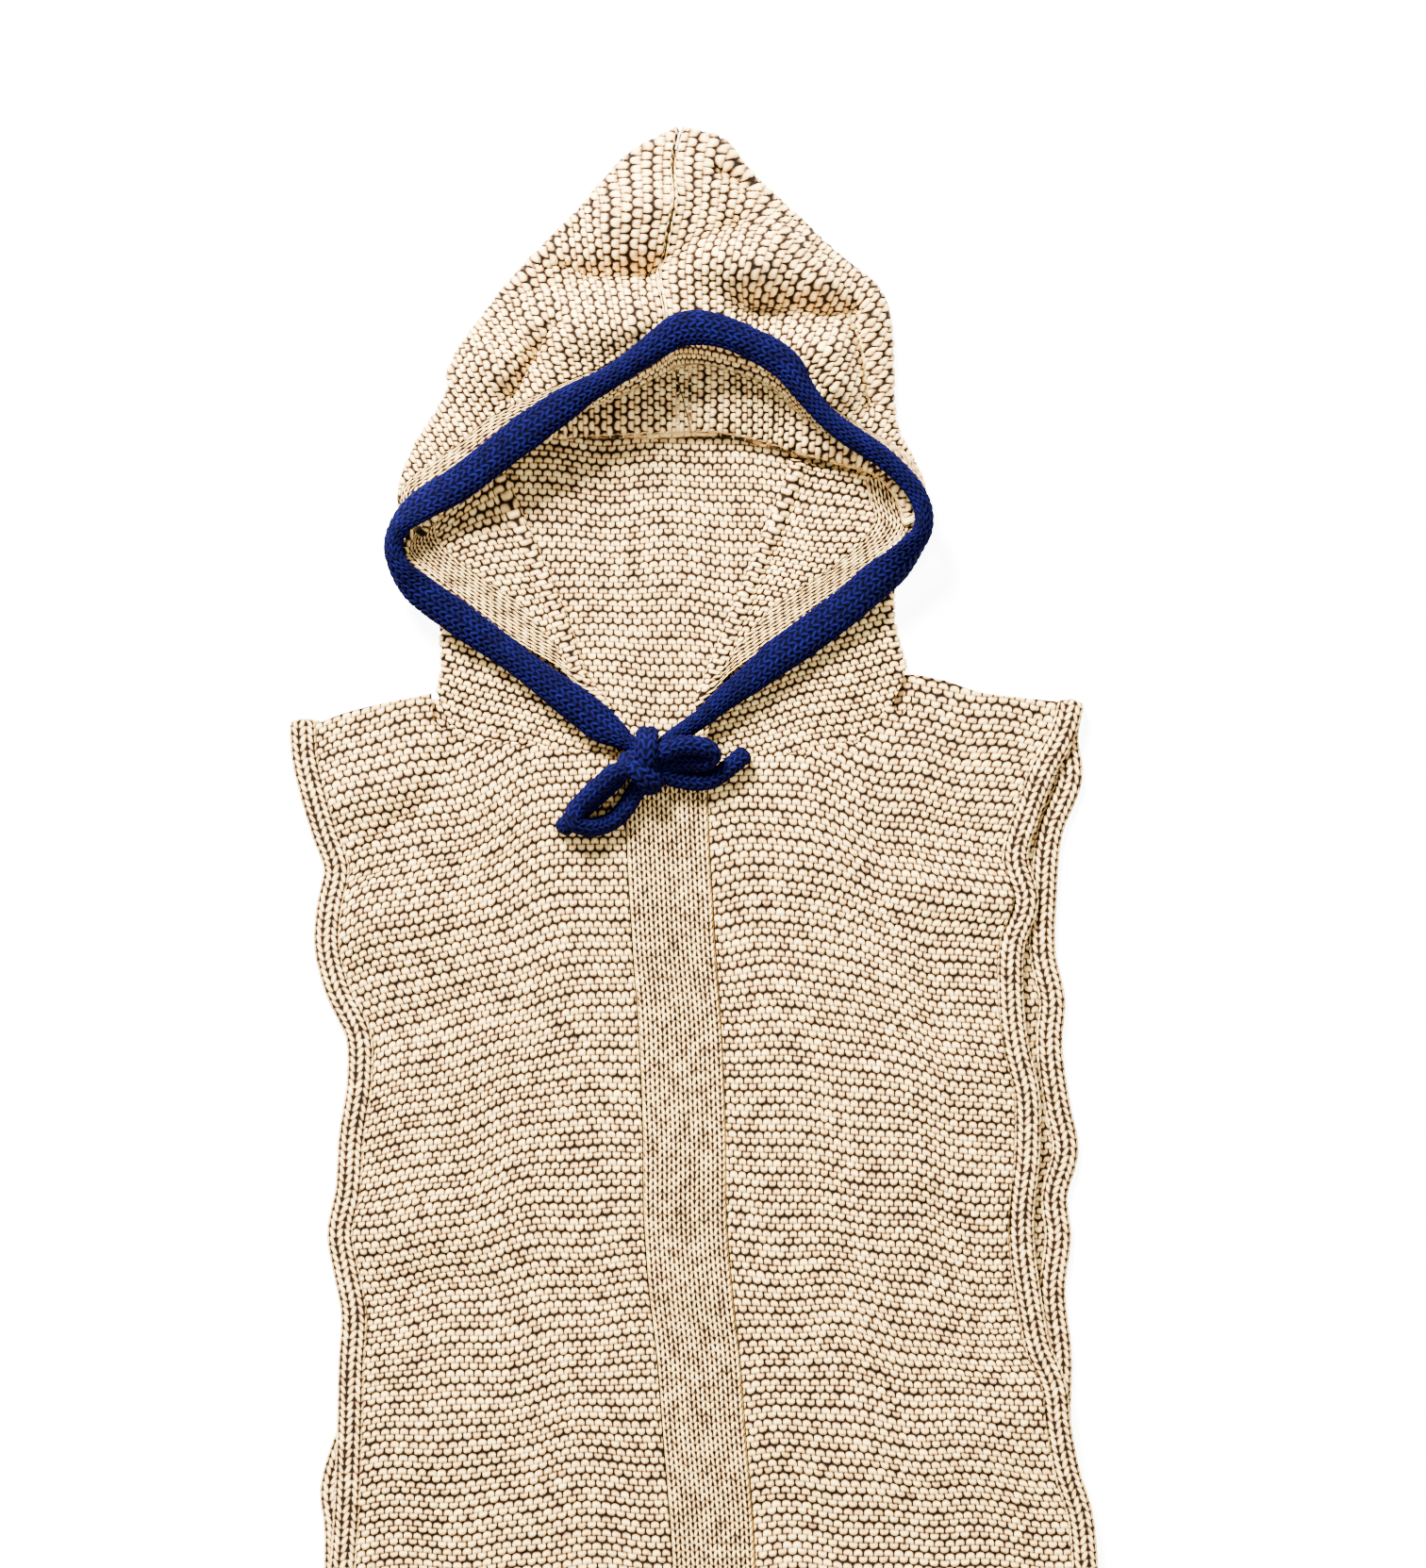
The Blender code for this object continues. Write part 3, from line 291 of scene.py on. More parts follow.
LEFT_CROWN = table(
    Section,
    (122, 249, 11, 118, 244, 13, 113, 240, 12.5),
    (119.5, 263.5, 10, 113.5, 261.5, 15, 108, 256, 13.5),
    (114, 277, 7.5, 101, 274.3, 17, 97, 268, 12.5),
    (107, 290, 1.5, 86.5, 284.3, 19, 83, 273, 10.5),
    (104, 306, 0, 72, 294.8, 22, 67, 276.3, 8.5),
    (103.5, 326, 0, 62, 304.8, 24, 54, 279.5, 7),
    (102.5, 346, 0, 56, 313, 26, 46, 281.8, 4.5),
    (96.5, 366, 0, 50.5, 321.6, 28, 38, 284.2, LAYER),
    (73.5, 386, 0, 38, 331, 30, 27, 286.6, LAYER),
    (46.5, 411, 0, 20.5, 339, 32, 14, 288.4, LAYER),
    (27, 430, 0, 6, 342.6, 33, 6.5, 289.2, LAYER),
    (14, 445.5, 0, -3, 342.6, 33, 2, 289.4, LAYER),
    (-7.3, 451.6, 0, -9.3, 341, 33, -1.2, 289.5, LAYER))
RIGHT_LAPEL = table(
    Lapel, (-43.5, 145.5, -47, 142, 5.2), (-56, 161.5, -66.3, 161.7, 7.4), (-66, 189, -94, 180, 8),
    (-76, 214, -123, 201.3, 8.6), (-88.5, 241.5, -150, 220.5, 10), (-99, 266, -154.5, 227.5, 8.6),
    (-102, 274, -150, 238, 9), (-104, 281, -140, 252, 9))
LEFT_LAPEL = table(
    Lapel, (-0.5, 148.5, 2.5, 144.5, 5.2), (4.5, 160, 15, 159.5, 7.4), (14, 184, 39, 178, 8),
    (25, 211, 71, 200, 8.4), (34.5, 234, 103, 224, 9.2), (43, 255, 115.5, 238, 8.6),
    (49, 271, 113, 250, 7.8), (50, 277, 112, 262, 7.8))
EDGING_ROUTE = table(
    Stop, (-35.6, 126.6, 15, 0, 9), (-40.5, 129.8, 15, 0, 13), (-48.1, 134.7, 15, 0, 17.5),
    (-58.1, 142.6, 15, 0, 18), (-68, 150.1, 15, 0, 17.6), (-78, 157.6, 15, 0, 15.8),
    (-98, 172.6, 15, 0, 15), (-107.9, 179.8, 15, 0, 16), (-117.9, 186.8, 15.5, 2, 17),
    (-127.8, 194, 16, 5, 17.4), (-137.7, 200.9, 17, 12, 17.4), (-147.6, 208.8, 18, 20, 16.5),
    (-155, 217.5, 20.4, 50, 14), (-158.6, 226.8, 22.1, 72, 10.8), (-157.8, 235.3, 22.4, 63, 11.5),
    (-153.3, 243.2, 22.5, 46, 15), (-145.9, 249.7, 22.6, 28, 17.5),
    (-137.4, 255.1, 23.3, 18, 17.5), (-127.4, 260.5, 24.1, 10, 18), (-117.4, 267.4, 25, 6, 18),
    (-107.4, 275.1, 26, 3, 18), (-97.4, 282.9, 27.2, 0, 18.2), (-87.5, 290.3, 28.6, 0, 19),
    (-77.5, 297.3, 30.1, 0, 17.8), (-67.5, 303.9, 31.8, 0, 16.6), (-57.6, 310.2, 33.6, 0, 13.7),
    (-47.6, 315.5, 35.6, 0, 12), (-37.7, 321.5, 37.4, 0, 11.8), (-27.8, 328.3, 39.1, 0, 13),
    (-17.9, 335.6, 40.5, 0, 15), (-8, 341.7, 41.2, 0, 17), (0.4, 343.2, 41.2, 0, 18),
    (10.2, 342.2, 40.9, 0, 16.8), (20.6, 339.1, 40.1, 0, 16), (31.5, 334.2, 38.8, 0, 16),
    (41.4, 328.9, 37.8, 3, 16.5), (49.8, 322, 37.3, 8, 15.5), (55.7, 313, 36.3, 15, 12.6),
    (62.7, 303.9, 34.5, 18, 10.8), (71.1, 295.4, 33.1, 18, 10.8), (81.1, 287.8, 31.5, 18, 11.6),
    (91.1, 281.5, 30, 20, 11.2), (101, 274.6, 28.7, 28, 10.8), (109, 267.2, 27.7, 38, 10.2),
    (116, 258.9, 26.8, 48, 9.8), (120.6, 248, 25.4, 64, 9.8), (120.1, 238.2, 23.4, 66, 12.5),
    (114.2, 229.4, 20.7, 48, 16), (105.6, 219.5, 18.4, 23, 18.2), (93.5, 209.6, 16.8, 8, 19),
    (82.3, 199.7, 15.8, 2, 19), (69.3, 189.8, 15.1, 0, 19.2), (55.9, 179.8, 15, 0, 19.2),
    (41.9, 169.8, 15, 0, 17.8), (29.9, 159.8, 15, 0, 15), (15.7, 149.2, 15, 0, 11.8),
    (4.8, 139.9, 15, 0, 9.6), (-12.4, 127.6, 15, 0, 9))
print("hood", LEFT_HOOD_SIDE[2].x - RIGHT_HOOD_SIDE[2].x, "mm wide")

# %% [markdown]
# ## Colours and yarn
# The yarn is thick matt cotton of several soft plies. Painted pictures of knitting would repeat and
# blur, so both its colours are worked out from the stitches that each mesh carries.

# %% Node helper and colours
def linear(code):
    """A colour from the sRGB hex code a screen shows, as the linear values a shader takes."""
    parts = [int(code[i:i + 2], 16) / 255 for i in (1, 3, 5)]
    return (*[x / 12.92 if x <= 0.04045 else ((x + 0.055) / 1.055) ** 2.4 for x in parts], 1.0)


def node(tree, kind, inputs=(), **settings):
    """Adds a node with its settings. inputs are values, sockets or nodes, by name or in order."""
    made = tree.nodes.new("ShaderNode" + kind)
    for name, value in settings.items():
        setattr(made, name, value)
    for name, value in inputs.items() if isinstance(inputs, dict) else enumerate(inputs):
        if isinstance(value, bpy.types.Node):
            value = value.outputs[0]
        if isinstance(value, bpy.types.NodeSocket):
            tree.links.new(value, made.inputs[name])
        else:
            made.inputs[name].default_value = value
    return made


print("mid grey in linear light:", round(linear("#808080")[0], 3))

# %% [markdown]
# ## The shape of a stitch
# In garter stitch every ridge shows two rows of loops: the upper row's are arched like a brow and
# the lower row's, half a stitch aside, like a smile. In stockinette each stitch is a V of two legs.
# Strands of yarn bent into real loops would take millions of triangles, so each stitch is stated
# once, as how far a place lies inside a loop: 1 on its back, 0 at its outline and below nought in
# the gap. The place is in stitches: c counts columns and r rows.

# %% Loops and legs
Loop = namedtuple("Loop", "middle bend half_height half_width")
BROW = Loop(0.75, -0.13, 0.29, 0.470)
SMILE = Loop(0.26, 0.13, 0.29, 0.462)
Leg = namedtuple("Leg", "start lean half_width middle half_height")
LEG = Leg(0.15, 0.20, 0.20, 0.50, 0.66)
CORD_LEG = Leg(0.10, 0.32, 0.20, 0.50, 0.62)
GARTER_GAP, SMOOTH_GAP = (0.0, 0.78), (0.5, 0.70)  # a place in a gap of each stitch


def garter(c, r):
    y = r - np.floor(r)
    found = []
    for loop, shift in ((BROW, 0.0), (SMILE, 0.5)):
        x = c + shift - np.floor(c + shift) - 0.5
        apart = (y - loop.middle - loop.bend * (2 * x) ** 2) / loop.half_height
        found.append(1 - apart**2 - (x / loop.half_width) ** 6)
    return np.maximum(*found)


def stockinette(c, r, leg=LEG):
    x = np.abs(c - np.floor(c) - 0.5)
    found = []
    for row in (-1, 0, 1):
        y = r - np.floor(r) - row
        apart = (x - leg.start - leg.lean * y) / leg.half_width
        found.append(1 - apart**2 - ((y - leg.middle) / leg.half_height) ** 4)
    return np.maximum.reduce(found)


def sunk(seam_or_shade, c, r, gap=GARTER_GAP):
    """Moves places into a gap, where no light falls, so they take its painted shade: at seams,
    creases and corners.
    """
    return np.where(seam_or_shade, np.round(c) + gap[0], c), np.where(seam_or_shade, np.round(r) + gap[1], r)


def even(cells):
    """So many columns and rows, spread evenly over a panel."""
    return lambda u, v, x, y: (u * cells[0], v * cells[1])


def wrapped(columns, row):
    """So many columns round a tube, and rows of so many millimetres along it."""
    return lambda run, around: (around * columns, run / row)


print("a brow's back lies", round(float(garter(0.5, BROW.middle)), 2), "inside its loop")

# %% [markdown]
# The shader needs the same loops, so that each gap's edge stays crisp between the mesh's points. It
# could read them from an image, but the same formulas as nodes stay sharp at any distance.

# %% The same loops as nodes
def garter_nodes(tree, c, r):
    y = node(tree, "Math", (r,), operation="FRACT")
    near = node(tree, "Math", (c, 0.5), operation="PINGPONG")
    found = []
    for loop, slope, offset in ((BROW, -2.0, 1.0), (SMILE, 2.0, 0.0)):
        x = node(tree, "Math", (near, slope, offset), operation="MULTIPLY_ADD")
        square = node(tree, "Math", (x, x), operation="MULTIPLY")
        middle = node(tree, "Math", (square, loop.bend, loop.middle), operation="MULTIPLY_ADD")
        apart = node(tree, "Math", (y, middle), operation="SUBTRACT")
        apart = node(tree, "Math", (apart, apart), operation="MULTIPLY")
        share = -1 / loop.half_height**2
        inside = node(tree, "Math", (apart, share, 1.0), operation="MULTIPLY_ADD")
        side = node(tree, "Math", (square, 3.0), operation="POWER")
        share = -1 / (2 * loop.half_width) ** 6
        found.append(node(tree, "Math", (side, share, inside), operation="MULTIPLY_ADD"))
    return node(tree, "Math", found, operation="MAXIMUM")


def stockinette_nodes(tree, c, r, leg=LEG):
    whole = node(tree, "Math", (r,), operation="FRACT")
    near = node(tree, "Math", (c, 0.5), operation="PINGPONG")
    found = []
    for row in (-1, 0, 1):
        y = node(tree, "Math", (whole, row), operation="SUBTRACT")
        middle = node(tree, "Math", (y, leg.lean, leg.start - 0.5), operation="MULTIPLY_ADD")
        apart = node(tree, "Math", (near, middle), operation="ADD")
        apart = node(tree, "Math", (apart, apart), operation="MULTIPLY")
        share = -1 / leg.half_width**2
        inside = node(tree, "Math", (apart, share, 1.0), operation="MULTIPLY_ADD")
        lift = node(tree, "Math", (y, leg.middle), operation="SUBTRACT")
        square = node(tree, "Math", (lift, lift), operation="MULTIPLY")
        fourth = node(tree, "Math", (square, square), operation="MULTIPLY")
        share = -1 / leg.half_height**4
        found.append(node(tree, "Math", (fourth, share, inside), operation="MULTIPLY_ADD"))
    nearer = node(tree, "Math", found[:2], operation="MAXIMUM")
    return node(tree, "Math", (nearer, found[2]), operation="MAXIMUM")


def cord_nodes(tree, c, r):
    return stockinette_nodes(tree, c, r, CORD_LEG)


# %% [markdown]
# Light catches the back of every loop and is lost in the gaps between them, so the colour runs from
# near black in a gap over brown sides to a pale back. Two noises break it up: the fibres' grain of
# 0.9 mm and patches of 5.5 mm, which make one loop lighter than the next, as in yarn spun unevenly.
# Flat colours would look like plastic.

# %% Yarn materials
FIBRE, PATCH = 0.9, 5.5  # sizes of the fibres' grain and of the patches, in millimetres
LOOSENESS = 1.1  # how unlike one loop is to the next
SIDE_AT, BACK_AT = 0.24, 0.50  # where the ramp has the colours of a loop's side and of its back
FUZZ, BUMP = 0.35, 0.5  # how far the fibres stand out of a loop, and of the whole relief, in mm
ROUGHNESS = 0.92


def yarn(name, loops, look):
    """Knitted cotton. A look's colours run from the gap beside a loop to its back."""
    material = bpy.data.materials.new(name)
    material.use_nodes = True
    tree = material.node_tree
    shader = tree.nodes["Principled BSDF"]
    stitch = node(tree, "Attribute", attribute_name="stitch")
    place = node(tree, "SeparateXYZ", (stitch.outputs["Vector"],))
    inside = loops(tree, place.outputs["X"], place.outputs["Y"])
    spot = node(tree, "TexCoord").outputs["Object"]
    fibres = node(tree, "TexNoise", {"Vector": spot, "Scale": 1 / (FIBRE * MM), "Detail": 2.0})
    patches = node(tree, "TexNoise", {"Vector": spot, "Scale": 1 / (PATCH * MM), "Detail": 1.0})
    grain = node(tree, "Math", (fibres, look.wear, inside), operation="MULTIPLY_ADD")
    worn = node(tree, "Math", (patches, LOOSENESS, grain), operation="MULTIPLY_ADD")
    ramp = node(tree, "MapRange", {"Value": worn, "From Min": look.gap, "From Max": look.back})
    shade = node(tree, "ValToRGB", {"Fac": ramp})
    stops = shade.color_ramp.elements
    stops[0].position, stops[0].color = 0.0, linear(look.colours[0])
    stops[1].position, stops[1].color = 1.0, linear(look.colours[3])
    stops.new(SIDE_AT).color = linear(look.colours[1])
    stops.new(BACK_AT).color = linear(look.colours[2])
    relief = node(tree, "Math", (inside, 0.0), operation="MAXIMUM")
    height = node(tree, "Math", (fibres, FUZZ, relief), operation="MULTIPLY_ADD")
    bump = node(tree, "Bump", {"Height": height, "Strength": 0.6, "Distance": BUMP * MM})
    tree.links.new(shade.outputs["Color"], shader.inputs["Base Color"])
    tree.links.new(bump.outputs["Normal"], shader.inputs["Normal"])
    shader.inputs["Roughness"].default_value = ROUGHNESS
    shader.inputs["Specular IOR Level"].default_value = look.gloss
    return material


Look = namedtuple("Look", "colours gap back wear gloss")  # gap, back: where the colours begin and end
BEIGE_LOOK = Look(("#0A0501", "#46301F", "#C49A5A", "#FFF3A2"), 0.82, 2.13, 0.35, 0.08)
NAVY_LOOK = Look(("#00000A", "#010116", "#03021F", "#070538"), 0.80, 2.10, 0.4, 0.03)
# Garter stitch gives the eye level rows of pale beads, each with a brown line round it.
BEIGE = yarn("beige_cotton_garter_stitch", garter_nodes, BEIGE_LOOK)
# Stockinette gives it smooth upright chains of Vs with fine dark lines between them.
BEIGE_SMOOTH = yarn("beige_cotton_stockinette", stockinette_nodes, BEIGE_LOOK)
# The dark yarn swallows light: deep blue Vs that only just show against their own gaps.
NAVY = yarn("navy_cotton_stockinette", cord_nodes, NAVY_LOOK)
print("materials:", BEIGE.name, BEIGE_SMOOTH.name, NAVY.name)

# %% [markdown]
# ## A knitted panel
# A panel is one piece of knitting. It starts as a grid, is extruded into a slab, and only its upper
# side is divided finely. The slab is then laid on its surface: the lower side straight on it, the
# upper side raised by a wall and by the stitches. Displacing both sides of a dense sheet would look
# the same, but dividing one side only keeps the hidden underside light.

# %% A finished mesh
def finish_mesh(name, shape, stitches, points, material, stands_for):
    """Makes a piece of a shape: its points in millimetres, its stitches and the solid it replaces."""
    name += "_knit"
    mesh = bpy.data.meshes.new(name)
    shape.to_mesh(mesh)
    shape.free()
    mesh.vertices.foreach_set("co", (points * MM).astype(np.float32).ravel())
    layer = mesh.attributes.new("stitch", "FLOAT_VECTOR", "POINT")
    places = np.column_stack([*stitches, points[:, 0] * 0])
    layer.data.foreach_set("vector", places.astype(np.float32).ravel())
    mesh.shade_smooth()
    mesh.materials.append(material)
    thing = add_object(name, mesh)
    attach(thing, "root")
    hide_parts(stands_for)
    print(name, sum(len(face.vertices) - 2 for face in mesh.polygons), "triangles")
    return thing


# %% [markdown]
# Where a panel ends in a curve across its rows, as at the neckline, the flat grid is cut before it
# is extruded. A boolean would leave long thin faces there.

# %% Slab and its cut
def trim(slab, cells, cut):
    """Cuts a flat grid along the line where cut(u, v) is nought, column by column."""
    columns = np.linspace(0, 1, cells[0] + 1)
    low, high = np.zeros_like(columns), np.ones_like(columns)
    whole = cut(columns, high) > 0
    for _ in range(30):
        middle = (low + high) / 2
        inside = cut(columns, middle) > 0
        low, high = np.where(inside, middle, low), np.where(inside, high, middle)
    limit = np.where(whole, 1.0, low)
    gone = []
    for face in slab.faces:
        centre = face.calc_center_median()
        if centre.y + 0.5 > np.interp(centre.x + 0.5, columns, limit):
            gone.append(face)
    bmesh.ops.delete(slab, geom=gone, context="FACES")
    highest = {}
    for vertex in slab.verts:
        column = round((vertex.co.x + 0.5) * cells[0])
        if column not in highest or vertex.co.y > highest[column].co.y:
            highest[column] = vertex
    for column, vertex in highest.items():
        if limit[column] < 1.0:
            vertex.co.y = limit[column] - 0.5


def make_slab(cells, quads, cut):
    """A flat slab, 1 unit each way, with each coarse face's upper side divided."""
    slab = bmesh.new()
    bmesh.ops.create_grid(slab, x_segments=cells[0], y_segments=cells[1], size=0.5)
    if cut is not None:
        trim(slab, cells, cut)
    sides = bmesh.ops.extrude_face_region(slab, geom=slab.faces[:])
    for vertex in sides["geom"]:
        if isinstance(vertex, bmesh.types.BMVert):
            vertex.co.z = 1.0
    bmesh.ops.recalc_face_normals(slab, faces=slab.faces)
    for is_across, cuts in ((True, quads[0] - 1), (False, quads[1] - 1)):
        upper = [
            edge for edge in slab.edges
            if min(vertex.co.z for vertex in edge.verts) > 0.5
            and (abs(edge.verts[0].co.x - edge.verts[1].co.x) > 1e-5) == is_across
        ]
        bmesh.ops.subdivide_edges(slab, edges=upper, cuts=cuts, use_grid_fill=True)
    return slab


# %% [markdown]
# The loops stand out of the wall along the surface's own normal. No hand knits quite evenly, so the
# columns and rows stray a little, in slow waves rather than at random.

# %% Panel helper
WALL = 1.7  # the cloth under the loops
RELIEF = 1.5  # how far the loops stand out of the gaps
RIM_WALL = 0.35  # the share of its wall that a rounded rim keeps
STEP = 1e-3  # between the places that a surface's slope is measured at


def raised(inside):
    """The height of the yarn from how far a place lies inside a loop, 0 to 1."""
    return np.sqrt(np.clip(inside, 0, 1))


def sway(x, y):
    """Hand knitting is a little uneven: how far columns and rows stray, in stitches."""
    columns = 0.22 * np.sin(x / 31 + 1.7 * np.sin(y / 47)) + 0.14 * np.sin(y / 13 + x / 90)
    rows = 0.20 * np.sin(x / 17 + 2.1 * np.sin(y / 61)) + 0.12 * np.sin(x / 8.3 + y / 37)
    return columns, rows


def panel(name, cells, quads, surface, stitch, knit,
          cut=None, relief=RELIEF, wall=WALL, rim=None, swayed=1.0, stands_for=None):
    """A knitted slab. cells are its coarse faces, quads how finely each one's top is divided.

    surface(u, v) is the underside in millimetres, stitch(u, v, x, y) the place in stitches and
    knit(c, r) how far that lies inside a loop. cut(u, v) is above nought where the panel goes on.
    """
    slab = make_slab(cells, quads, cut)
    place = np.array([vertex.co for vertex in slab.verts])
    u, v, is_top = place[:, 0] + 0.5, place[:, 1] + 0.5, place[:, 2] > 0.5
    points = surface(u, v)
    along = surface(np.minimum(u + STEP, 1), v) - surface(np.maximum(u - STEP, 0), v)
    upward = surface(u, np.minimum(v + STEP, 1)) - surface(u, np.maximum(v - STEP, 0))
    normal = np.cross(along, upward)
    normal /= np.maximum(np.linalg.norm(normal, axis=1), 1e-12)[:, None]
    if normal[:, 2].mean() < 0:
        normal = -normal
        bmesh.ops.reverse_faces(slab, faces=slab.faces)
    c, r = stitch(u, v, points[:, 0], points[:, 1])
    stray = sway(points[:, 0], points[:, 1])
    c, r = c + swayed * stray[0], r + swayed * stray[1]
    edge = np.ones_like(u) if rim is None else rim(u, v)
    top = wall * (RIM_WALL + (1 - RIM_WALL) * edge) + relief * raised(knit(c, r)) * edge
    points = points + normal * np.where(is_top, top, 0.0)[:, None]
    material = BEIGE if knit is garter else BEIGE_SMOOTH
    finish_mesh(name, slab, (c, r), points, material, stands_for or name)

# %% [markdown]
# ## The body
# Two fronts in garter stitch meet a strip of nine columns of stockinette. The rows of a front run
# straight out at the hem and slant up along the shoulder at the top, because the shoulders were
# shaped with short rows. The neckline cuts through them, so it is trimmed into the panel's grid. A
# panel fitted to the neckline would bend its rows.

# %% Fronts
FRONT_CELLS = (32, 86)  # columns and ridges of a front
TUCK = 3.0  # how far the fronts go under the hood's edge along the neckline
FRONT_BULGE = 2.4
BULGE_X, BULGE_HALF_WIDTH = 3, 205
HEM_REACH = 12  # the cloth rises over this much from the hem
FRONT_FOLDS_GAIN = 1.6
RIGHT_ROWS_TOP = table(
    Spot, (-201.5, 136), (-188.5, 141), (-160, 148.3), (-136, 153.5), (-112, 165), (-92, 174),
    (-65, 178), (-37.9, 178))
LEFT_ROWS_TOP = table(
    Spot, (6.9, 176), (35, 178), (70, 175), (95, 168), (112, 163), (131.5, 159.5), (151.5, 153),
    (170, 150.5), (193.1, 148))
RIGHT_NECKLINE = table(
    Spot, (-250, 300), (-137, 300), (-136, 149.5), *RIGHT_FRONT_NECK, (-37.9, 115.2))
LEFT_NECKLINE = table(Spot, (6.9, 115.2), *LEFT_FRONT_NECK, (112, 162.5), (113, 300), (250, 300))


def strip_side(side, top_y, gap=0.0):
    return upright(STRIP_MIDDLE, HEM_Y, top_y, side * (STRIP_WIDTH / 2 + gap))


def on_front(plan):
    """A flat plan as an underside at the height of the fronts."""

    def surface(u, v):
        x, y = plan(u, v).T
        side = 1 - np.clip(np.abs(x - BULGE_X) / BULGE_HALF_WIDTH, 0, 1) ** 6
        end = 1 - np.exp(-(y - HEM_Y) / HEM_REACH)
        folds = FRONT_FOLDS_GAIN * folds_height(FRONT_FOLDS, x, y) * end
        rise = np.maximum(FRONT_BULGE * side * end + folds, 0.0)
        return np.column_stack([x, y, LAYER + SEAM + rise])

    return surface


def make_front(name, side, edge, rows_top, neck):
    outer_end, inner_end = (0, -1) if side < 0 else (-1, 0)
    outer = upright(edge, HEM_Y, rows_top[outer_end].y, -side * (BAND_WIDTH + SEAM))
    inner = strip_side(side, rows_top[inner_end].y, SEAM)
    left, right = (outer, inner) if side < 0 else (inner, outer)
    top = line([Spot(*left(1.0)), *rows_top[1:-1], Spot(*right(1.0))])
    surface = on_front(patch(straight(left(0.0), right(0.0)), top, left, right))
    neck_x, neck_y = zip(*sorted(neck))

    def below_neck(u, v):
        flat = surface(u, v)
        return smooth(neck_x, neck_y, flat[:, 0]) + TUCK - flat[:, 1]

    panel(name, FRONT_CELLS, (4, 7), surface, even(FRONT_CELLS), garter, cut=below_neck)


make_front("front_right", -1, RIGHT_FRONT_EDGE, RIGHT_ROWS_TOP, RIGHT_NECKLINE)
make_front("front_left", 1, LEFT_FRONT_EDGE, LEFT_ROWS_TOP, LEFT_NECKLINE)

# %% [markdown]
# The strip's nine columns are stockinette, smooth and a little sunk between the garter fronts. Its
# upper side falls towards both its seams, and the stitches there lie in the dark.

# %% Front strip
STRIP_CELLS = (9, 150)
STRIP_SEAM = 0.10  # how far the painted shade along a seam reaches into the strip, in stitches
STRIP_FALL = 0.35  # how far from a seam the upper side falls, in stitches
strip_left, strip_right = [strip_side(side, STRIP_MIDDLE[-1].y) for side in (-1, 1)]
strip_bottom, strip_top = [straight(strip_left(end), strip_right(end)) for end in (0.0, 1.0)]


def soft_sides(u, v):
    return np.clip(np.minimum(u, 1 - u) * STRIP_CELLS[0] / STRIP_FALL, 0, 1) ** 0.5


def strip_stitch(u, v, x, y):
    # The stitches along both seams take the gap's painted shade.
    seam_or_shade = np.minimum(u, 1 - u) * STRIP_CELLS[0] < STRIP_SEAM
    return sunk(seam_or_shade, u * STRIP_CELLS[0], v * STRIP_CELLS[1], SMOOTH_GAP)


strip_surface = on_front(patch(strip_bottom, strip_top, strip_left, strip_right))
panel("front_strip", STRIP_CELLS, (6, 4), strip_surface, strip_stitch, stockinette, rim=soft_sides,
      swayed=0.3)

# %% [markdown]
# The back lies underneath. Only a sliver of it shows beside the wearer's left front, so it is a
# plain slab with shallow stitches.

# %% Back
BACK_CELLS = (77, 85)
back_right, back_left = [
    upright(edge, edge[0].y, edge[-1].y, aside * (BAND_WIDTH + SEAM))
    for edge, aside in ((RIGHT_BACK_EDGE, 1), (LEFT_BACK_EDGE, -1))
]
back_top = line([Spot(*back_right(1.0)), *RIGHT_SHOULDER[1:], *BACK_NECK[1:-1], *LEFT_SHOULDER[:-1],
                 Spot(*back_left(1.0))])
back_plan = patch(straight(back_right(0.0), back_left(0.0)), back_top, back_right, back_left)
panel("back", BACK_CELLS, (1, 2), on_floor(back_plan), even(BACK_CELLS), garter, relief=0.7,
      wall=2.2)

# %% [markdown]
# ## The side bands
# A narrow band of stockinette is knitted along each armhole edge. It rolls a little, so it is a
# flattened tube: here a cylinder divided along its length and round its girth, laid along its edge.
# A curve with a bevel would be shorter to write, but its faces carry no places in stitches.

# %% Tube helper
TIP = 0.02  # the share of its own girth, squared, that a tapered end keeps
MID_RELIEF = 0.6  # the share of the relief that lies inside a tube's own size


def run_along(points):
    return np.concatenate([[0.0], np.cumsum(np.linalg.norm(np.diff(points, axis=0), axis=1))])


def across_route(stops):
    """The two directions across a tube at each stop: along its flat side and through it."""
    ahead = np.gradient(stops[:, :3], axis=0)
    ahead /= np.linalg.norm(ahead, axis=1)[:, None]
    aside = np.cross([0, 0, 1], ahead)
    aside /= np.linalg.norm(aside, axis=1)[:, None]
    up = np.cross(ahead, aside)
    turn = np.radians(stops[:, 3])[:, None]
    return np.cos(turn) * aside - np.sin(turn) * up, np.cos(turn) * up + np.sin(turn) * aside


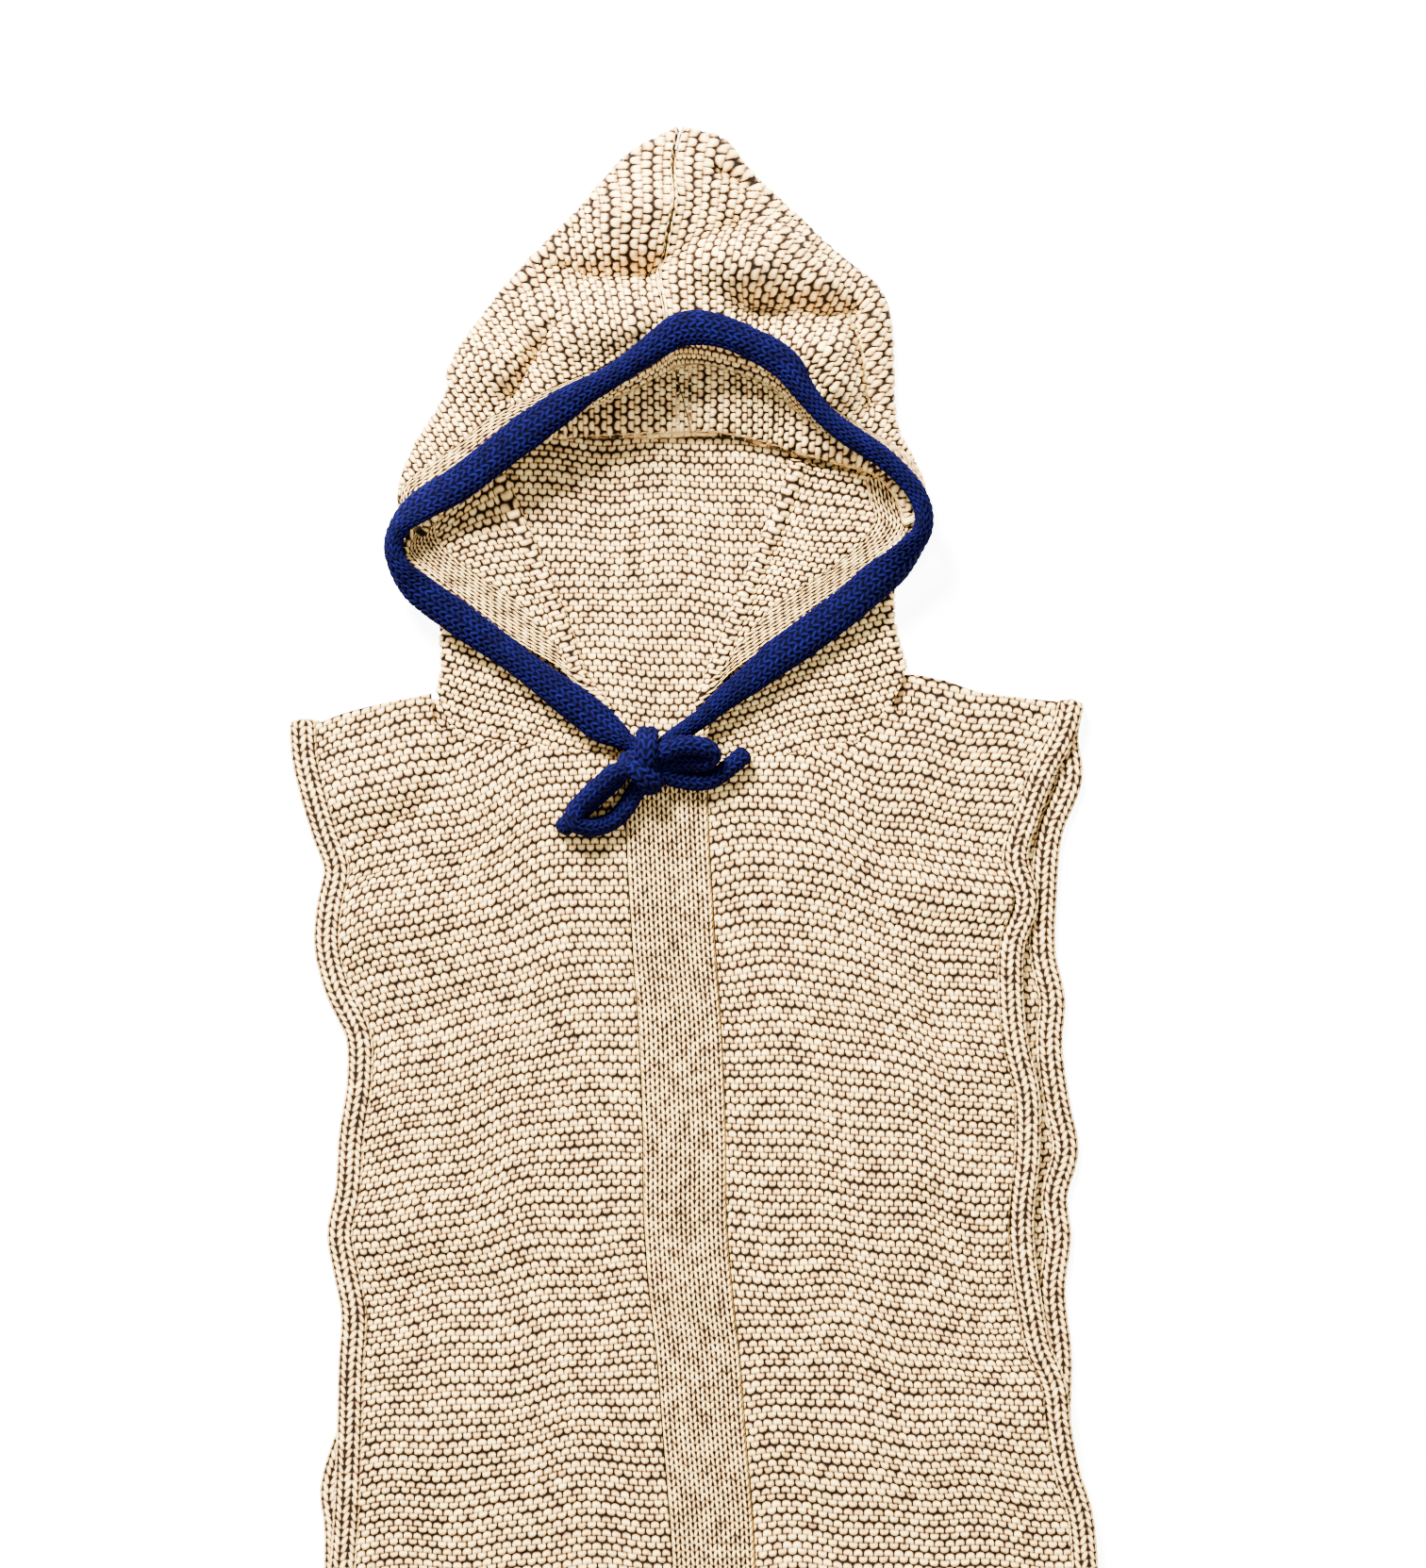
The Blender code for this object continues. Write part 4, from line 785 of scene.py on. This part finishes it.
def tube(name, route, rings, sides, height, stitch, relief, material, tapers=(0, 0), stands_for=None):
    """A knitted tube along route(share): x, y, z, the turn of its flat side and its width.

    tapers are how far its two ends are rounded off, stitch(run, around) is the place in stitches.
    """
    stops = route(np.linspace(0, 1, rings))
    flat, thick = across_route(stops)
    run = run_along(stops[:, :3])
    size = np.ones(rings)
    for taper, apart in zip(tapers, (run, run[-1] - run)):
        if taper:
            size *= np.sqrt(np.clip(1 - (1 - np.clip(apart / taper, 0, 1)) ** 2, TIP, 1))
    shape = bmesh.new()
    bmesh.ops.create_cone(shape, cap_ends=True, segments=sides, radius1=1, radius2=1, depth=1)
    lengthwise = [edge for edge in shape.edges if abs(edge.verts[0].co.z - edge.verts[1].co.z) > 0.5]
    bmesh.ops.subdivide_edges(shape, edges=lengthwise, cuts=rings - 2, use_grid_fill=True)
    place = np.array([vertex.co for vertex in shape.verts])
    ring = np.rint((place[:, 2] + 0.5) * (rings - 1)).astype(int)
    angle = np.arctan2(place[:, 1], place[:, 0])
    stitches = stitch(run[ring], angle / (2 * np.pi) + 0.5)
    leg = CORD_LEG if material is NAVY else LEG
    lift = (relief * (raised(stockinette(*stitches, leg)) - MID_RELIEF) * size[ring])[:, None]
    cos, sin = np.cos(angle)[:, None], np.sin(angle)[:, None]
    flat, thick, wide, size = flat[ring], thick[ring], stops[ring, 4], size[ring]
    across = flat * cos * (wide * size)[:, None] / 2
    rise = thick * sin * (height * size)[:, None] / 2
    out = flat * cos * height + thick * sin * wide[:, None]
    out /= np.linalg.norm(out, axis=1)[:, None]
    points = stops[ring, :3] + across + rise + out * lift
    return finish_mesh(name, shape, stitches, points, material, stands_for or name), run[-1]

# %% [markdown]
# Each band is sewn along its edge from hem to shoulder, the front's on top of the back's. It has
# five columns round, of which the two on top show.

# %% Side bands
BAND_LIFT = 0.5  # the stitches stand this far below a band's own underside
BAND_ROLL = 0.8  # how far it rolls beyond its own width
BAND_PAST = 1.5  # how far it passes the end of the edge
BACK_BAND_Z, FRONT_BAND_Z = BAND_HEIGHT / 2 + BAND_LIFT, BAND_HEIGHT * 1.5 + SEAM + BAND_LIFT


def make_band(name, edge, side, z):
    read = upright(edge, edge[0].y, edge[-1].y + BAND_PAST, -side * BAND_WIDTH / 2)

    def route(share):
        rest = np.tile([z, 0.0, BAND_WIDTH + BAND_ROLL], (len(share), 1))
        return np.column_stack([read(share), rest])

    tube(name, route, rings=360, sides=24, height=BAND_HEIGHT, stitch=wrapped(5, 4.2), relief=1.2,
         material=BEIGE_SMOOTH, tapers=(3, 3))


make_band("back_band_right", RIGHT_BACK_EDGE, -1, BACK_BAND_Z)
make_band("back_band_left", LEFT_BACK_EDGE, 1, BACK_BAND_Z)
make_band("front_band_right", RIGHT_FRONT_EDGE, -1, FRONT_BAND_Z)
make_band("front_band_left", LEFT_FRONT_EDGE, 1, FRONT_BAND_Z)

# %% [markdown]
# ## The hood
# The hood's back lies lowest and shows in the mouth, its rows level. Its outline is the hood's own,
# a little narrower and lower at the top, so that the crown's fold covers its edge.

# %% Back of the hood
HOOD_BACK_CELLS = (47, 53)
NARROWER = 0.968
LOWER, LOWER_FROM = 0.03, 300  # how much lower it lies for each millimetre above that height


def inside(rows):
    middle = HOOD_TIP[1].x
    return [Spot(middle + (row.x - middle) * NARROWER, row.y - LOWER * max(row.y - LOWER_FROM, 0))
            for row in rows]


hood_hem = line([Spot(-130, 139), *BACK_NECK[1:-1], Spot(101, 145)])
hood_right = [Spot(*hood_hem(0.0)), *inside(RIGHT_HOOD_SIDE)]
hood_left = [Spot(*hood_hem(1.0)), *inside(LEFT_HOOD_SIDE)]
hood_top = line([hood_right[-1], *inside(HOOD_TIP), hood_left[-1]])
hood_plan = patch(hood_hem, hood_top, line(hood_right), line(hood_left))
panel("hood_back", HOOD_BACK_CELLS, (4, 4), on_floor(hood_plan), even(HOOD_BACK_CELLS), garter)

# %% [markdown]
# The hood's fronts, between neckline and edging, are folded round at the silhouette. Their rows run
# parallel to the edging, so the stitches are counted along turned axes: a grid fitted to the
# outline would fan them out.

# %% Hood fronts at the neck
CURL = 3.2  # how far from a fold the cloth curls down to it
NECK_BULGE, BULGE_FROM = 1.4, 30  # how high it rises, and how far from the fold
CURL_FROM = 0.3  # the share of its height over which the fold begins
NECK_WALE, NECK_RIDGE = 4.8, 6.2
RIGHT_NECK_FOLD = table(Spot, (-135.6, 149.9), (-132.9, 164), (-132.9, 180), (-132.9, 204))
LEFT_NECK_FOLD = table(Spot, (111.6, 162.9), (105, 186), (103.6, 210))
RIGHT_NECK_INNER = table(
    Spot, (-37.6, 115.6), (-50, 137), (-70, 155), (-92, 169), (-110, 181), (-121, 191))
LEFT_NECK_INNER = table(Spot, (6.8, 115.6), (9, 139), (26, 156), (56, 182), (73, 193), (92, 206))


def make_hood_neck(name, side, front_neck, fold, inner, degrees):
    sides = (fold, inner) if side < 0 else (inner, fold)
    neck = [sides[0][0], *[Spot(x, y + SEAM) for x, y in front_neck], sides[1][0]]
    plan = patch(line(neck), straight(sides[0][-1], sides[1][-1]), line(sides[0]), line(sides[1]))
    cos, sin = math.cos(math.radians(degrees)), math.sin(math.radians(degrees))

    def surface(u, v):
        x, y = plan(u, v).T
        from_fold = np.abs(x - smooth([spot.y for spot in fold], [spot.x for spot in fold], y))
        near = 1 - np.clip(from_fold / CURL, 0, 1)
        drop = (LAYER + SEAM) * (1 - np.sqrt(1 - near**2)) * np.clip(v / CURL_FROM, 0, 1)
        bulge = NECK_BULGE * np.sin(math.pi * v) * np.clip(from_fold / BULGE_FROM, 0, 1)
        return np.column_stack([x, y, LAYER + SEAM - drop + bulge])

    def stitch(u, v, x, y):
        return (x * cos + y * sin) / NECK_WALE, (y * cos - x * sin) / NECK_RIDGE

    panel(name, (12, 10), (10, 10), surface, stitch, garter)


make_hood_neck("hood_neck_right", -1, RIGHT_FRONT_NECK, RIGHT_NECK_FOLD, RIGHT_NECK_INNER, -17)
make_hood_neck("hood_neck_left", 1, LEFT_FRONT_NECK, LEFT_NECK_FOLD, LEFT_NECK_INNER, 15)

# %% [markdown]
# Inside the mouth each half shows its reverse, folded at the back of the head, with a band of
# stockinette next to the edging whose columns run along it. One surface holds both, so that they
# meet without a step: it rolls up from its ridge and climbs to the edging at the mouth's corner.

# %% Surface inside the mouth
FACE_BAND_WIDTH = 21.0
ROLL, ROLL_REACH, ROLL_AT = 3.6, 3.6, 4.5  # the soft roll along the ridge, and how far from it
ROLL_ROOM = 14  # a lapel narrower than this rolls less
RISE_END = 0.62  # the share of the way from the ridge to the edging where its rise ends
CORNER_LIP = (0.42, 0.57, 0.71, 0.8, 0.86), (0, 2.0, 4.5, 2.0, 0)  # its climb to the edging, up v
LIP_REACH = 3.0


def lapel_place(rows, u, v):
    """The underside inside the mouth: u from the edging to the ridge, v from the neck up."""
    ridge_x, ridge_y, rim_x, rim_y, rim_z = read_rows(rows, v)
    across = 1 - u
    x, y = ridge_x + (rim_x - ridge_x) * across, ridge_y + (rim_y - ridge_y) * across
    width = np.hypot(rim_x - ridge_x, rim_y - ridge_y)
    apart = (across * width - ROLL_AT) / ROLL_REACH
    roll = ROLL * np.exp(-(apart**2)) * np.clip(width / ROLL_ROOM, 0, 1)
    rise = np.clip(across / RISE_END, 0, 1)
    lip = np.interp(v, *CORNER_LIP) * np.exp(-((u * width / LIP_REACH) ** 2))
    z = LAYER + (rim_z - LAYER) * rise * rise * (3 - 2 * rise) + roll + lip
    return np.column_stack([x, y, z]), width


def band_share(rows, v):
    """The share of a lapel's width that its band takes, and the width."""
    width = lapel_place(rows, v * 0, v)[1]
    return np.minimum(FACE_BAND_WIDTH / width, 0.5), width


def way_up(rows):
    """How far up a lapel v lies, in millimetres along the lapel's middle."""
    at = np.linspace(0, 1, 60)
    run = run_along(lapel_place(rows, at * 0 + 0.5, at)[0])
    return lambda v: np.interp(v, at, run)


for rows in (RIGHT_LAPEL, LEFT_LAPEL):
    print("a lapel", round(float(way_up(rows)(1.0))), "mm long")

# %% [markdown]
# The garter stitch and the band are two panels on that surface. The first rounds off towards its
# ridge, and goes a hair under the band.

# %% Inside of the hood
WALE, RIDGE = 4.9, 6.6  # a stitch's width and the height of a garter ridge, two rows, on the hood
FACE_WALE = FACE_ROW = 4.2  # the same of the band along the face
FACE_RELIEF = 1.1  # stockinette is smoother than garter stitch
BAND_LAP = 0.004
ROUND_OFF = 5  # how far from its ridge the garter stitch is rounded
CORNER_DEEP, CORNER_UP = 0.03, 0.8  # the part at the mouth's corner that takes painted shade


def make_lapel(side, rows):
    way = way_up(rows)

    def garter_surface(u, v):
        start = band_share(rows, v)[0] - BAND_LAP
        return lapel_place(rows, start + (1 - start) * u, v)[0]

    def garter_stitch(u, v, x, y):
        start, width = band_share(rows, v)
        # The mouth's corner takes the gap's painted shade.
        painted_corner_shade = (u < CORNER_DEEP) & (v > CORNER_UP)
        return sunk(painted_corner_shade, (1 - u) * (1 - start) * width / WALE, way(v) / RIDGE)

    def rounded(u, v):
        start, width = band_share(rows, v)
        return np.sqrt(np.clip((1 - u) * (1 - start) * width / ROUND_OFF, 0, 1))

    def band_surface(u, v):
        return lapel_place(rows, u * band_share(rows, v)[0], v)[0]

    def band_stitch(u, v, x, y):
        start, width = band_share(rows, v)
        return u * start * width / FACE_WALE, way(v) / FACE_ROW

    panel("hood_inside_" + side, (12, 23), (5, 7), garter_surface, garter_stitch, garter, rim=rounded)
    panel("hood_band_inside_" + side, (5, 40), (6, 5), band_surface, band_stitch, stockinette,
          relief=FACE_RELIEF)


make_lapel("right", RIGHT_LAPEL)
make_lapel("left", LEFT_LAPEL)

# %% [markdown]
# Over the crown each half curves up from the fold at the silhouette to the rim that carries the
# edging, and from there steeply down inside. It is stated as one surface from sections, because a
# crown, a band and a brim that were modelled apart would gape where they meet.

# %% Surface of the crown
CROWN_RIM = 0.74
CROWN_EASE = 1.6
FOLD_LIFT = 0.15
# How far the seam in the crown's middle strays from a straight line, from tip to edging.
SEAM_BOW = [(0, 0), (0.15, -3.0), (0.4, -3.0), (0.55, -5.8), (0.7, -7.6), (0.9, -6.4), (1.0, -5.5)]
SEAM_REACH = 8  # the cloth beside it follows less and less
SOFT_REACH = 14  # folds fade out this close to the fold and to the rim
CROWN_FOLDS_GAIN = 3.0
LEAST_CURL = 0.98  # no fold goes deeper than this share of the curl
KNUCKLE = 9.0  # how far the cloth turned into the mouth swells before it ends in the crease
STEEP_SHARE = 0.35  # of its way, the part that drops steeply behind the edging


def crown_place(rows, s, t):
    """The underside over the crown: s along the rim, t from the fold to where it rests inside."""
    fx, fy, fz, rx, ry, rz, ex, ey, ez = read_rows(rows, s)
    out = np.clip(t / CROWN_RIM, 0, 1) ** CROWN_EASE
    turned_in = np.clip((t - CROWN_RIM) / (1 - CROWN_RIM), 0, 1)
    bow = smooth(*zip(*SEAM_BOW), out) * s**SEAM_REACH * (1 - turned_in)
    x = fx + (rx - fx) * out + (ex - rx) * turned_in + bow
    y = fy + (ry - fy) * out + (ey + WALL - ry) * turned_in
    width = np.hypot(rx - fx, ry - fy)
    from_fold = np.clip(out * width / CURL, 0, 1)
    curl = (LAYER + SEAM) * np.sqrt(1 - (1 - from_fold) ** 2) * np.clip(1 - fz / (LAYER + SEAM), 0, 1)
    dome = (rz - fz - curl) * (1 - (1 - out) ** 2.0)
    soft = np.clip(out * width / SOFT_REACH, 0, 1) * np.clip((1 - out) * width / SOFT_REACH, 0, 1)
    folds = CROWN_FOLDS_GAIN * soft * folds_height(CROWN_FOLDS, x, y)
    outside = np.maximum(fz + FOLD_LIFT + curl + dome + folds, fz + FOLD_LIFT + curl * LEAST_CURL)
    swell = np.minimum(KNUCKLE, rz - ez)
    steep = np.clip(turned_in / STEEP_SHARE, 0, 1)
    soft_end = np.clip((turned_in - STEEP_SHARE) / (1 - STEEP_SHARE), 0, 1)
    inside = ez + swell * np.sqrt(1 - soft_end**3) + (rz - ez - swell) * (1 - steep) ** 1.5
    return np.column_stack([x, y, np.where(t <= CROWN_RIM, outside, inside)])


crown_top = crown_place(RIGHT_CROWN, np.ones(1), np.full(1, CROWN_RIM))[0]
print("the rim stands", round(float(crown_top[2]), 1), "mm above the floor at its highest")

# %% [markdown]
# The band runs along the rim. Low down it lies outside the edging, and towards the middle it turns
# in with the rim. The crown's ridges run parallel to its middle seam and fan out a little.

# %% Crown of the hood
# The share of the face band's width that lies outside the edging, along the rim of each half.
RIGHT_SHOWS = [(0, 1.0), (0.3, 1.0), (0.45, 0.85), (0.6, 0.5), (0.72, 0.3), (1, 0.3)]
LEFT_SHOWS = [(0, 0.6), (0.2, 0.55), (0.35, 0.4), (0.5, 0.3), (1, 0.3)]
BAND_AT_MOST = 0.92  # the share of the way from the edging to the fold that the band may take
CROWN_LAP = 0.005
FAN, FAN_REACH, FAN_Y = 0.4, 100, 330  # how far the ridges lean, how far out, and from where
SEAM_LINE = 0.9  # how wide the painted shade along a seam is to each side
OUTER_BAND_CELLS = (42, 5)
BRIM_SEAMS = (-9.0, -2.5)  # where the cloth turned in has its two seams
BRIM_RIDGE = 6.5
BRIM_BAND, BRIM_BAND_CELLS = 0.3, (40, 9)  # the share of the brim that belongs to the band
CREASE_FROM = 0.955  # the share of its way from which it takes painted shade, for the crease
BRIM_SIDE = 0.02  # the same painted shade at its side end, in the mouth's corner


def outer_band_share(rows, shows, s):
    """Where the band on the crown begins. It turns in with the rim on the way up to the middle."""
    fx, fy, _, rx, ry, *_ = read_rows(rows, s)
    share = FACE_BAND_WIDTH * smooth(*zip(*shows), s) / np.hypot(rx - fx, ry - fy)
    return CROWN_RIM * (1 - np.minimum(share, BAND_AT_MOST)) ** (1 / CROWN_EASE)


def make_crown(side, rows, shows):
    def garter_surface(u, v):
        return crown_place(rows, u, (outer_band_share(rows, shows, u) - CROWN_LAP) * v)

    def band_surface(u, v):
        start = outer_band_share(rows, shows, u)
        return crown_place(rows, u, start + (CROWN_RIM - start) * v)

    def brim_surface(u, v):
        return crown_place(rows, u, CROWN_RIM + (1 - CROWN_RIM) * v)

    along = np.linspace(0, CROWN_RIM, 12)
    seam = crown_place(rows, np.ones_like(along), along)[::-1]

    def crown_stitch(u, v, x, y):
        from_seam = np.abs(x - smooth(seam[:, 1], seam[:, 0], y))
        fan = FAN * np.clip(from_seam / FAN_REACH, 0, 1)
        # The stitches beside the middle seam take the gap's painted shade.
        return sunk(from_seam < SEAM_LINE, y / WALE, (from_seam - fan * (y - FAN_Y)) / RIDGE)

    def band_stitch(u, v, x, y):
        return v * OUTER_BAND_CELLS[1], u * OUTER_BAND_CELLS[0]

    def brim_stitch(u, v, x, y):
        is_band = v < BRIM_BAND
        seam_or_shade = (np.abs(x[:, None] - BRIM_SEAMS) < SEAM_LINE).any(axis=1) & ~is_band
        c = np.where(is_band, u * BRIM_BAND_CELLS[0], y / WALE)
        r = np.where(is_band, v * BRIM_BAND_CELLS[1], (x - BRIM_SEAMS[0]) / BRIM_RIDGE)
        # The seams, the crease and the side end take the gap's painted shade.
        return sunk(seam_or_shade | (v > CREASE_FROM) | (u < BRIM_SIDE), c, r)

    panel("hood_crown_" + side, (32, 22), (6, 5), garter_surface, crown_stitch, garter)
    panel("hood_band_" + side, (40, 5), (5, 5), band_surface, band_stitch, stockinette,
          relief=FACE_RELIEF)
    panel("hood_brim_" + side, (26, 8), (7, 5), brim_surface, brim_stitch, garter,
          stands_for="hood_band_" + side)


make_crown("right", RIGHT_CROWN, RIGHT_SHOWS)
make_crown("left", LEFT_CROWN, LEFT_SHOWS)

# %% [markdown]
# ## The edging
# A dark blue tube of stockinette is sewn to the hood's mouth. It lies flat along most of its way
# and stands on edge where the mouth turns, so its route states its turn and its width at each stop.

# %% Edging
EDGING_ENDS = table(Stop, (-27, 120, 17, 0, 9), (-20, 121, 17, 0, 9))  # they enter the knot
edging_route = line([EDGING_ENDS[0], *EDGING_ROUTE, EDGING_ENDS[1]])
_, edging_length = tube("hood_edging", edging_route, rings=720, sides=55, height=9.4,
                        stitch=wrapped(10, 4.0), relief=1.5, material=NAVY)
print("edging", round(edging_length), "mm long")

# %% [markdown]
# ## The bow
# The bow is the same cord, knotted once: each strand leaves the knot as a loop or as a free end
# that is cut off and rounded by its bind-off. Each is a round tube of its own, because the strands
# meet only inside the knot.

# %% Loops and free ends
CORD_DIAMETER = 9.8
CORD_WALES, CORD_ROW, CORD_RELIEF = 6, 3.8, 1.3


def make_cord(name, read, rings, width, height, tapers, stands_for=None):
    """A tube along a line of the bow, with a cord's own stitches."""

    def route(share):
        return np.column_stack([read(share), np.tile([0.0, width], (len(share), 1))])

    return tube(name, route, rings, 32, height, wrapped(CORD_WALES, CORD_ROW), CORD_RELIEF, NAVY,
                tapers, stands_for)


def make_strand(name, rows, tapers):
    read = line(rows)
    strand, length = make_cord(name, read, 90, CORD_DIAMETER, CORD_DIAMETER, tapers)
    path = read(np.linspace(0, 1, 40)) * MM
    tuple(path[0])
    [tuple(point) for point in path]
    print(name, round(length), "mm")


# Inside the knot each loop begins and ends, and each free end begins.
right_loop = table(Knot, (-27.5, 116, 20), *RIGHT_LOOP, (-27, 105.5, 17))
left_loop = table(Knot, (-21, 119, 20), *LEFT_LOOP, (-20, 113, 16))
make_strand("tie_loop_right", right_loop, (0, 0))
make_strand("tie_end_right", table(Knot, (-27, 118, 17), *RIGHT_END), (0, 3))
make_strand("tie_loop_left", left_loop, (0, 0))
make_strand("tie_end_left", table(Knot, (-25, 109, 17), *LEFT_END), (0, 3))

# %% [markdown]
# The knot is two turns of the same cord: one over the top, one round the waist of the bow. They are
# pressed flat and hide where the strands meet, as the real knot does.

# %% Knot
OVER = table(
    Knot, (-25, 109, 16), (-25.4, 112, 22), (-25.5, 117.5, 27), (-25.3, 123.5, 27.5),
    (-25, 129, 23), (-25, 131.5, 15))
WAIST = table(
    Knot, (-35, 119, 15), (-33.5, 116.5, 22), (-29, 111.5, 26), (-23.5, 106, 24), (-20, 102.5, 16))
PRESSED = 8.5  # how thick the cord is left there
for name, rows, width in (("tie_knot_over", OVER, 12.0), ("tie_knot_under", WAIST, 13.0)):
    make_cord(name, line(rows), 60, width, PRESSED, (4, 4), "tie_knot")

# %% [markdown]
# ## What the cloth was cut to
# Each panel is listed with the flat size of what shows of it, counted in stitches and
# rows. The edging is a tube, so its width is stated all round.

# %% Sheets
Cut = namedtuple("Cut", "name width length share rests_on")  # share: how much of it is cloth
CUTS = table(
    Cut,
    ("back", 382, 604, 0.98, []),
    ("front_right", 170, 604, 0.93, ["back"]),
    ("front_left", 170, 604, 0.93, ["back"]),
    ("front_strip", 44, 570, 1.0, ["back"]),
    ("back_band_right", 17, 591, 1.0, []),
    ("back_band_left", 17, 602, 1.0, []),
    ("front_band_right", 17, 593, 1.0, ["back_band_right"]),
    ("front_band_left", 17, 604, 1.0, ["back_band_left"]),
    ("hood_back", 230, 325, 0.85, []),
    ("hood_neck_right", 100, 89, 0.53, ["hood_back"]),
    ("hood_neck_left", 106, 95, 0.65, ["hood_back"]),
    ("hood_inside_right", 48, 165, 0.53, ["hood_back"]),
    ("hood_inside_left", 48, 160, 0.62, ["hood_back"]),
    ("hood_band_inside_right", 21, 160, 0.78, ["hood_inside_right"]),
    ("hood_band_inside_left", 21, 160, 0.85, ["hood_inside_left"]),
    ("hood_crown_right", 150, 175, 0.56, ["hood_back"]),
    ("hood_crown_left", 150, 175, 0.61, ["hood_back"]),
    ("hood_band_right", 21, 175, 0.80, ["hood_crown_right"]),
    ("hood_band_left", 21, 175, 0.62, ["hood_crown_left"]),
    ("hood_brim_right", 55, 180, 0.48, ["hood_back"]),
    ("hood_brim_left", 55, 180, 0.60, ["hood_back"]),
    ("hood_edging", 36, 730, 1.0, ["hood_neck_right", "hood_neck_left"]))
for cut in CUTS:
    [below + "_knit" for below in cut.rests_on]
print(len(CUTS), "sheets declared")

# %% [markdown]
# ## Light and floor
# A broad soft light from the far side and above gives the loops their shape and leaves a soft
# shadow under the edging. The floor is white paper, lit so that it goes clear white behind the
# cloth as in a cut-out.

# %% Floor
FLOOR_Z = -0.0002  # just below the cloth
floor_shape = bmesh.new()
bmesh.ops.create_grid(floor_shape, x_segments=1, y_segments=1, size=3.0)
bmesh.ops.translate(floor_shape, verts=floor_shape.verts, vec=(0, 0, FLOOR_Z))
floor_mesh = bpy.data.meshes.new("floor")
floor_shape.to_mesh(floor_mesh)
floor_shape.free()
floor = add_object("floor", floor_mesh)
# Matt paper gives the eye no edge and no gloss: only the cloth is seen.
paper = bpy.data.materials.new("white_matt_paper")
paper.use_nodes = True
paper_shader = paper.node_tree.nodes["Principled BSDF"]
paper_shader.inputs["Base Color"].default_value = linear("#F8F8F8")
paper_shader.inputs["Roughness"].default_value = 0.9
paper_shader.inputs["Emission Color"].default_value = (1, 1, 1, 1)
paper_shader.inputs["Emission Strength"].default_value = 9.0
floor_mesh.materials.append(paper)
print("floor at", FLOOR_Z / MM, "mm")

# %% [markdown]
# The main lamp stands beyond the hood and low enough to rake over the loops. A weak broad one from
# the near side and an even white surrounding keep the gaps readable.

# %% Lights
AIM = Vector((0, 0.05, 0))


def area_light(name, place, size, power, colour):
    data = bpy.data.lights.new(name, "AREA")
    data.size = size
    data.energy = power
    data.color = linear(colour)[:3]
    lamp = add_object(name, data)
    lamp.location = place
    lamp.rotation_mode = "QUATERNION"
    lamp.rotation_quaternion = (AIM - lamp.location).to_track_quat("-Z", "Y")


area_light("key", place=(-0.9, 2.2, 1.7), size=0.8, power=1300, colour="#FFFDF8")
area_light("fill", place=(0.8, -1.6, 2.6), size=2.5, power=90, colour="#FFFFFF")
world = bpy.data.worlds.new("studio")
world.use_nodes = True
surround = world.node_tree.nodes["Background"]
surround.inputs["Color"].default_value = (1, 1, 1, 1)
surround.inputs["Strength"].default_value = 1.15
bpy.context.scene.world = world
print("lights:", [light.name for light in bpy.data.lights])
